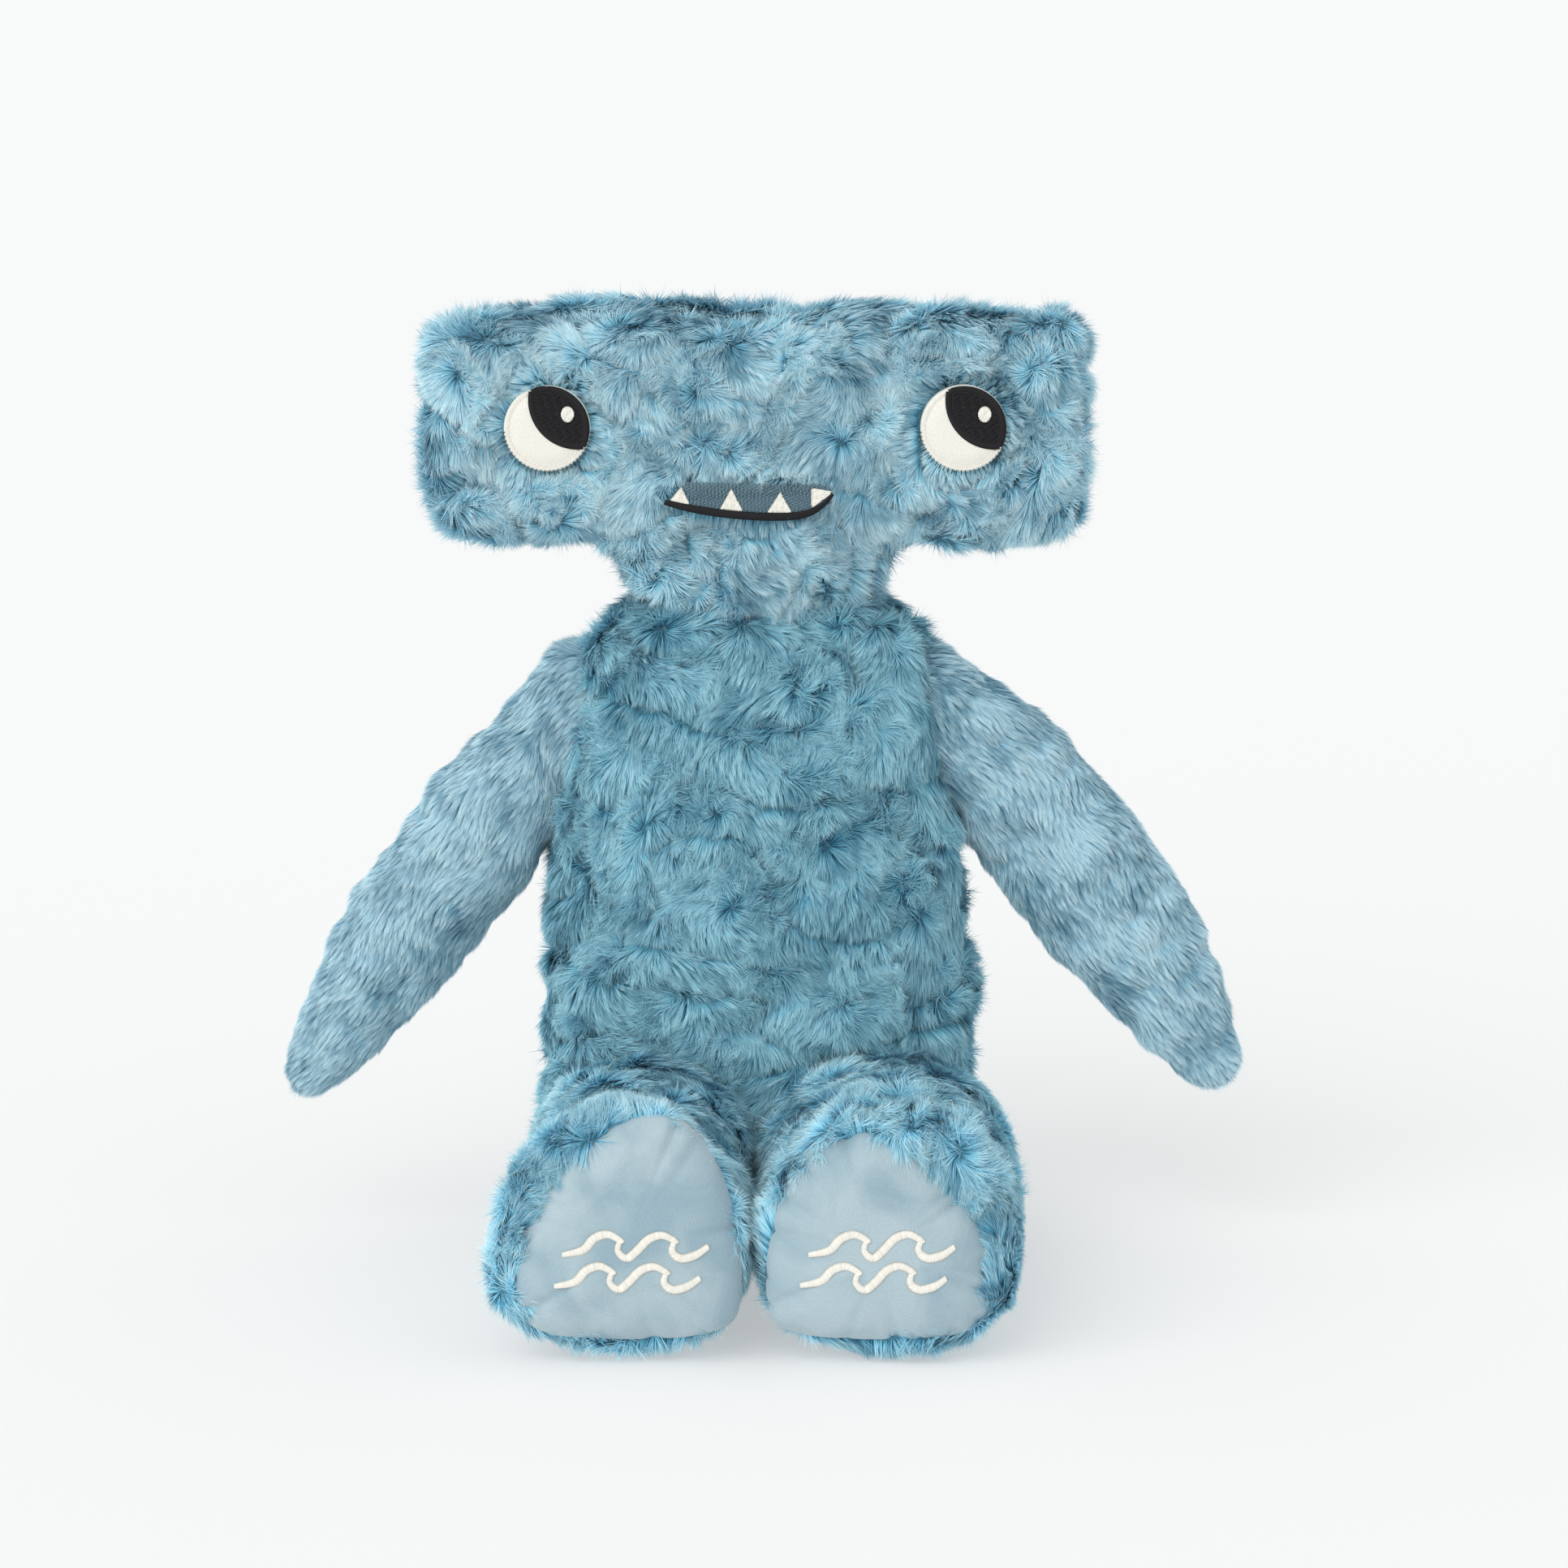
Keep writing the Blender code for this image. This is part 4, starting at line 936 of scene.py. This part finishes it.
# seed, millions of strands per square metre, skin, which of its faces, and the finish
PANELS = {
    "head_front": (1, 9.0, "head", lambda c, n: c.y < neck.y - SEAM, head_fur),
    "head_gusset": (2, 3.1, "head", lambda c, n: abs(c.y - neck.y) <= SEAM, head_fur),
    "head_back": (3, 3.5, "head", lambda c, n: c.y > neck.y + SEAM, head_fur),
    "chest": (4, 5.5, "torso", lambda c, n: c.y < neck.y and c.z > chest_low, shaded_body_fur),
    "belly": (14, 6.0, "torso", lambda c, n: c.y < neck.y and HEM < c.z <= chest_low, shaded_body_fur),
    "torso_back": (5, 2.5, "torso", lambda c, n: c.y >= neck.y and c.z > HEM, shaded_body_fur),
    "dorsal_fin": (6, 5.0, "dorsal_fin", lambda c, n: True, shaded_body_fur),
}
for side in ("left", "right"):
    PANELS.update({
        f"{side}_arm_front": (7, 8.0, f"{side}_arm", lambda c, n: c.y < neck.y, arm_fur),
        f"{side}_arm_back": (8, 4.0, f"{side}_arm", lambda c, n: c.y >= neck.y, arm_fur),
        f"{side}_leg_upper": (
            9, 5.6, f"{side}_leg", lambda c, n: c.z > hip.z and off_the_sole(c, n), lit_leg_fur),
        f"{side}_leg_lower": (
            10, 3.5, f"{side}_leg", lambda c, n: c.z <= hip.z and off_the_sole(c, n), lit_leg_fur),
    })
furs = {}
for panel, (seed, millions, body, keep, finish) in PANELS.items():
    pile = SHORT if finish == arm_fur or body == "dorsal_fin" else LONG
    furs[panel] = grow(f"{panel}_fur", skins[body], keep, finish, Seed=seed,
                       Strands_per_square_metre=1e6 * millions, **pile)

# %% [markdown]
# ## Thread
#
# Everything on the face and the soles is embroidered: the lip, the teeth, the pupils and the waves are rows
# of single stitches. One stitch is a short half rod that dips into the cloth at both ends. Python works out
# where each one goes, as points with a direction, and a Geometry Nodes tree lays a stitch on every point. A
# bump map would be cheaper, but would not give the stepped edge that satin stitch has.


# %% One stitch and the tree that lays it
def make_stitch():
    """Half a rod along X, 1 long and 1 wide."""
    rows = ((-0.5, -0.5, 0.7), (-0.3, -0.02, 1.0), (0.3, -0.02, 1.0), (0.5, -0.5, 0.7))
    turns = [math.radians(degrees) for degrees in (0, 45, 90, 135, 180)]
    shape = bmesh.new()
    grid = [[shape.verts.new((x, 0.5 * girth * math.cos(turn), lift + 0.5 * girth * math.sin(turn)))
             for turn in turns] for x, lift, girth in rows]
    for row, after in zip(grid, grid[1:]):
        for i in range(len(turns) - 1):
            shape.faces.new((row[i], row[i + 1], after[i + 1], after[i]))
    mesh = mesh_from(shape, "stitch")
    mesh.shade_smooth()
    along = [x + 0.5 for x, _, _ in rows for _ in turns]
    return pattern("stitch", mesh, along, [turn / math.pi for _ in rows for turn in turns])


def make_stitch_tree():
    tree, given, result, identifiers = tree_with_inputs(
        "lay_stitches", (("Thickness", "Float"), ("Stitch", "Object"), ("Finish", "Material")))
    value = given.outputs
    lay, up = named(tree, "lay", "FLOAT_VECTOR"), named(tree, "up", "FLOAT_VECTOR")
    length = add(tree, "ShaderNodeVectorMath", {0: lay}, operation="LENGTH").outputs["Value"]
    turn = add(tree, "FunctionNodeAxesToRotation", {0: lay, 1: up}, primary_axis="X", secondary_axis="Z")
    size = add(tree, "ShaderNodeCombineXYZ", {"X": length, "Y": value["Thickness"], "Z": value["Thickness"]})
    points = stored(tree, value["Geometry"], "tone", random_number(tree, 0.0, 0.95, 2))
    whole = placed(tree, points, value["Stitch"], turn.outputs[0], size.outputs[0])
    spares = ("lay", "up", "tone", "side", "along")
    tree.links.new(with_strand_map(tree, whole, spares, value["Finish"]), result.inputs["Geometry"])
    return tree, identifiers


stitch = make_stitch()
stitch_tree = make_stitch_tree()


# %% Laying rows of stitches
def walk(line, pitch):
    """Evenly spaced (share of the way, point, direction) along a line."""
    steps = np.linalg.norm(np.diff(line, axis=0), axis=1)
    way = np.concatenate([[0], np.cumsum(steps)])
    for distance in np.arange(pitch / 2, way[-1], pitch):
        i = min(np.searchsorted(way, distance) - 1, len(steps) - 1)
        direction = (line[i + 1] - line[i]) / steps[i]
        yield distance / way[-1], line[i] + direction * (distance - way[i]), direction


def satin(line, widths, pitch=0.00030, slant=0.2):
    """Stitches across a line of (x, z) points. widths are spread evenly from its start to its end."""
    rows = []
    for share, point, direction in walk(line, pitch):
        across = np.array((-direction[1], direction[0])) + slant * direction
        rows.append((point, across * np.interp(share, np.linspace(0, 1, len(widths)), widths)))
    return rows


def running(line, length, gap):
    """Stitches along a line, with a gap after each."""
    return [(point, direction * length) for _, point, direction in walk(line, length + gap)]


def filled(outline, degrees, stitch_length=0.0030, pitch=0.00032, seed=1):
    """Rows of stitches that fill an outline of (x, z) points."""
    turn = math.radians(degrees)
    along, across = np.array((math.cos(turn), math.sin(turn))), np.array((-math.sin(turn), math.cos(turn)))
    u, v = outline @ along, outline @ across
    random = np.random.default_rng(seed)
    rows = []
    for height in np.arange(v.min() + pitch / 2, v.max(), pitch):
        crossings = []
        for a, b, c, d in zip(u, v, np.roll(u, -1), np.roll(v, -1)):
            if (b > height) != (d > height):
                crossings.append(a + (c - a) * (height - b) / (d - b))
        crossings.sort()
        for low, high in zip(crossings[::2], crossings[1::2]):
            start = low - random.uniform(0, stitch_length)
            while start < high:
                a, b = max(start, low), min(start + stitch_length, high)
                if b - a > 0.0005:
                    rows.append((along * (a + b) / 2 + across * height, along * (b - a) * 1.04))
                start += stitch_length
    return rows


def embroider(name, rows, surface, finish, thickness=0.00038):
    """Lays stitches on a surface. surface turns an (x, z) point into a point in space and its normal."""
    places = [surface(point) for point, _ in rows]
    mesh = bpy.data.meshes.new(name)
    mesh.from_pydata([place for place, _ in places], [], [])
    lay = [(lay[0], 0.0, lay[1]) for _, lay in rows]
    store(mesh, "lay", lay)
    store(mesh, "up", [normal for _, normal in places])
    piece = new_piece(name, mesh)
    run_tree(piece, stitch_tree, Thickness=thickness, Stitch=stitch, Finish=finish)
    print(f"{name}: {len(rows)} stitches")
    return piece


def flat_at(y):
    """A surface that faces the front at a depth y."""
    return lambda point: ((point[0], y, point[1]), (0, -1, 0))


# %% [markdown]
# ## The eyes
#
# Each eye is a disc of thick felt with a row of small stitches round its edge, which draws a shallow groove.
# The pupil is the part of the disc inside a second circle, and is the same way round on both eyes, so the toy
# looks up to one side. It has a fill of level rows, a border of satin stitch and a thin brown line between.

# %% Felt discs
# distance from the middle as a share of the radius, and how far back the felt lies
EYE_PROFILE = ((0.55, 0.0), (0.83, 0.0001), (0.885, 0.0007), (0.935, 0.0001), (0.975, 0.0005),
               (1.0, 0.0013), (1.0, 0.0065))


def felt_disc(name, centre, radius, front):
    rings = [[(x, front + back, z) for x, z in circle((centre.x, centre.z), radius * share, 0, 355, 72)]
             for share, back in EYE_PROFILE]
    return solid(name, [rings], felt_cream)


def circle(centre, radius, start=0, end=360, count=96):
    turns = np.radians(np.linspace(start, end, count))
    return np.array(centre) + radius * np.stack([np.cos(turns), np.sin(turns)], 1)


def lens(centre, radius, other_centre, other_radius, count=120):
    """The outline that two circles share, seen from a point inside both."""
    inside = (np.array(centre) + np.array(other_centre)) / 2
    points = []
    for turn in np.arange(count) * 2 * math.pi / count:
        ray = np.array((math.cos(turn), math.sin(turn)))
        reaches = []
        for middle, size in ((centre, radius), (other_centre, other_radius)):
            offset = inside - np.array(middle)
            along = offset @ ray
            reaches.append(-along + math.sqrt(along**2 - offset @ offset + size**2))
        points.append(inside + ray * min(reaches))
    return np.array(points)


def closed(line):
    return np.vstack([line, line[:1]])


# %% Pupils, borders and glints
PUPIL_OFFSET, PUPIL_RADIUS, PUPIL_BORDER = (0.0117, 0.0108), 0.0188, 0.0024
GLINT_OFFSET, GLINT_HALF = (0.0079, 0.0055), (0.0024, 0.0030)
face_pieces = {}
for side, (low, high) in eyes.items():
    middle = (low + high) / 2
    eye_centre = np.array((middle.x, middle.z))
    face_pieces[f"{side}_eye_white"] = felt_disc(f"{side}_eye", middle, eye_radius, face_y)

    def pupil(inset, gap=0):
        """The pupil's outline, inset by a share of the border's width, and by a gap from the felt's edge."""
        inset *= PUPIL_BORDER
        return lens(eye_centre, eye_radius - gap - inset, eye_centre + PUPIL_OFFSET, PUPIL_RADIUS - inset)

    oval = circle((0, 0), 1) * GLINT_HALF + eye_centre + GLINT_OFFSET
    # Painted shadow: short dark brown threads across the lower rim stand for the shaded slits where the fur
    # meets the felt.
    shadow_ticks = [(point, (point - eye_centre) / eye_radius * 0.0022)
             for point in circle(eye_centre, eye_radius + 0.0004, 185, 355, 30)]
    seam = circle(eye_centre, 0.885 * eye_radius, count=160)
    # rows of stitches, how far in front of the felt, thread and its thickness
    for part, rows, lift, thread, thickness in (
        ("pupil_thread", filled(pupil(0.60), 0, 0.0034), 0.00012, thread_black, 0.00042),
        ("pupil_border", satin(closed(pupil(0.5, 0.0002)), [PUPIL_BORDER]), 0.00030, thread_black, 0.00046),
        ("pupil_line", running(closed(pupil(1.075)), 0.0013, 0.0001), 0.00040, thread_brown, 0.00024),
        ("glint_thread", filled(oval, 90, 0.006, 0.00030), 0.00070, thread_cream, 0.00046),
        ("eye_seam", running(seam, 0.0012, 0.0004), -0.00052, thread_cream, 0.00034),
        # painted shadow at the lower rim
        ("eye_edge", shadow_ticks, -0.00040, thread_brown, 0.00034),
    ):
        face_pieces[f"{side}_{part.removesuffix('_thread')}"] = embroider(
            f"{side}_{part}", rows, flat_at(face_y - lift), thread, thickness)

# %% [markdown]
# ## The mouth
#
# A blue-grey patch is filled with slanted rows of thread. The lip is one line of black satin stitch below it,
# thinner at its right end. Four cream teeth stand on the lip, and the fur hangs over the patch's upper edge.

# %% Mouth
LIP_SHAPE = ((-0.0346, 0.0300), (-0.0262, 0.0279), (-0.0165, 0.0262), (-0.0060, 0.0250), (0.0050, 0.0244),
             (0.0150, 0.0247), (0.0215, 0.0263), (0.0262, 0.0293), (0.0296, 0.0331))
MOUTH_TOP = 0.0376
TEETH = (
    ((-0.0330, 0.0300), (-0.0249, 0.0287), (-0.0283, 0.0358)),
    ((-0.0136, 0.0270), (-0.0046, 0.0262), (-0.0092, 0.0351)),
    ((0.0044, 0.0258), (0.0141, 0.0256), (0.0095, 0.0338)),
    ((0.0213, 0.0354), (0.0290, 0.0341), (0.0285, 0.0328), (0.0213, 0.0275)),
)
lift = np.array((0, neck.z))
lip_line = smooth_line(np.array(LIP_SHAPE) + lift)
patch_outline = np.vstack([lip_line, lift + (0.0262, MOUTH_TOP - 0.001), lift + (-0.0262, MOUTH_TOP)])
patch_y = mouth_low.y
face_pieces["mouth_patch"] = embroider(
    "mouth_thread", filled(patch_outline, -22, 0.0015, 0.00070), flat_at(patch_y), thread_mouth, 0.00060)
face_pieces["lip"] = embroider(
    "lip_thread", satin(lip_line, [0.0022, 0.0030, 0.0031, 0.0031, 0.0029, 0.0012]),
    flat_at(patch_y - 0.0010), thread_black, 0.00044)
for number, tooth in enumerate(TEETH, 1):
    face_pieces[f"tooth_{number}"] = embroider(
        f"tooth_{number}_thread", filled(np.array(tooth) + lift, 88 if number < 4 else 8, 0.009, 0.00031),
        flat_at(patch_y - 0.00055), thread_cream, 0.00042)


# a plain patch of cloth under the thread, so that nothing shows between the stitches
face_pieces["mouth_cloth"] = solid("mouth_cloth", [[
    [(x, patch_y + back, z) for x, z in patch_outline[::3]] for back in (0.0001, 0.006)]], mouth_cloth,
    smooth=False)

# %% [markdown]
# ## The soles
#
# A sole is a puffy pad of short-pile cloth, wide at the heel and narrower at the toes. It is sewn into the
# fur all round, and the seam gathers the cloth: small pleats run in from the edge. A cloth simulation would
# lose them in its remesh. Here the mesh is a set of rings from the seam to the middle, so that the pleats
# can be a function of the angle alone.

# %% Sole pads
SOLE_RINGS = (1.0, 0.985, 0.96, 0.93, 0.89, 0.84, 0.78, 0.71, 0.63, 0.54, 0.45, 0.35, 0.25, 0.14, 0.05)
PLEATS, PLEAT_DEPTH = 13, 0.0042
SOLE_LUMP, SOLE_LUMP_HEIGHT = 0.021, 0.0013


def make_sole(side, sign, seed):
    low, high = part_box(f"{side}_sole")
    outline, core = sole_outline(sign)
    random = np.random.default_rng(seed)
    pleats = [(random.uniform(0, 2 * math.pi), random.uniform(0.035, 0.08), random.uniform(0.25, 1.0))
              for _ in range(PLEATS)]
    angles = np.arctan2(*(outline - core).T[::-1])
    depth = np.zeros(len(outline))
    for turn, width, strength in pleats:
        away = np.angle(np.exp(1j * (angles - turn)))
        depth += strength * np.exp(-((away / width) ** 2))
    rim, bulge = high.y + 0.001, high.y - low.y
    rings = [[(x, rim + 0.004, z) for x, z in outline]]
    for share in SOLE_RINGS:
        near_edge = share**5
        row = []
        for point, pleat in zip(outline, depth):
            at = core + (point - core) * share * (1 - 0.010 * pleat * near_edge)
            dome = bulge * (1 - share**3.2) ** 0.5
            place = Vector((at[0], 0, at[1]))
            soft = noise.noise(place / SOLE_LUMP + Vector((seed, 0, 0))) * SOLE_LUMP_HEIGHT * (1 - near_edge)
            row.append((at[0], rim - dome + PLEAT_DEPTH * pleat * share**3.5 + soft, at[1]))
        rings.append(row)
    return solid(f"{side}_sole_pad", [rings], minky)


soles = {side: make_sole(side, sign, seed) for side, sign, seed in (("left", 1, 3), ("right", -1, 8))}

# %% [markdown]
# ### Waves
#
# Two rows of running waves are sewn on each sole. Every wave is one stroke that rises, curls over and drops
# under the curl into the next. A ray finds the pad's surface under each stitch, so the thread follows its
# crown.

# %% Waves of satin stitch
WAVE_HEIGHT = 0.0090
WAVE_WIDTH = 0.0033
CURL = ((0.05, 0.22), (0.02, -0.16), (0.18, -0.46))
CREST = ((0.38, -0.12), (0.58, 0.34), (0.82, 0.52), (1.02, 0.34), (1.10, 0.18))
TAIL = ((0.45, -0.34), (0.68, -0.02))


def wave_strokes(low, high):
    """The strokes of one row of two waves in the space between two corners."""
    length = (high.x - low.x) / 2.72
    middle = (low.z + high.z) / 2
    strokes = []
    for number, shape in enumerate((((0.0, -0.34), *CREST), (*CURL, *CREST), (*CURL, *TAIL))):
        strokes.append([(low.x + length * (number + u + 0.02), middle + WAVE_HEIGHT * v) for u, v in shape])
    return strokes


def on_pad(pad):
    tree = BVHTree.FromPolygons([vertex.co for vertex in pad.data.vertices],
                                [face.vertices for face in pad.data.polygons])

    def surface(point):
        place, normal, _, _ = tree.ray_cast(Vector((point[0], -1, point[1])), Y)
        return place + normal * 0.0003, normal

    return surface


wave_pieces = {}
for side, pad in soles.items():
    for row in (1, 2):
        name = f"{side}_sole_wave_{row}"
        rows = []
        for stroke in wave_strokes(*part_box(name)):
            rows += satin(smooth_line(stroke), [WAVE_WIDTH * 0.6, WAVE_WIDTH, WAVE_WIDTH, WAVE_WIDTH * 0.7])
        wave_pieces[name] = embroider(f"{name}_thread", rows, on_pad(pad), thread_cream, 0.00062)

# %% [markdown]
# ## Joining the frame
#
# Each piece rides on the body whose name it carries, and the mechanical model's nodes that it covers are
# hidden.


def settle(piece, body, slot, *nodes):
    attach(piece, body)
    if nodes:
        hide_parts(*nodes)


STUFFINGS = {"torso": ("torso_stuffing", "pellet_bag")}
FUR_NODES = {
    "chest": ("torso_front_panel",), "belly": (), "torso_back": ("torso_back_panel", "seat_panel"),
    "head_gusset": ("head_gusset", "neck_gusset"),
    "dorsal_fin": ("dorsal_fin_left_panel", "dorsal_fin_right_panel"),
}
for body, piece in skins.items():
    settle(piece, body, "fur", *STUFFINGS.get(body, (f"{body}_stuffing",)))
for panel, piece in furs.items():
    settle(piece, PANELS[panel][2], "fur", *FUR_NODES.get(panel, (f"{panel}_panel",)))
FACE_SLOTS = {"eye": "felt_cream", "glint": "thread_cream", "tooth": "thread_cream", "pupil": "felt_black",
              "lip": "felt_black", "mouth": "mouth_blue"}
for part, piece in face_pieces.items():
    nodes = (part,) if part in frame["nodes"] else ()
    settle(piece, "head", next(slot for word, slot in FACE_SLOTS.items() if word in part), *nodes)
for side, pad in soles.items():
    settle(pad, f"{side}_leg", "minky", f"{side}_sole")
for node, piece in wave_pieces.items():
    settle(piece, f"{node.split('_')[0]}_leg", "thread_cream", node)
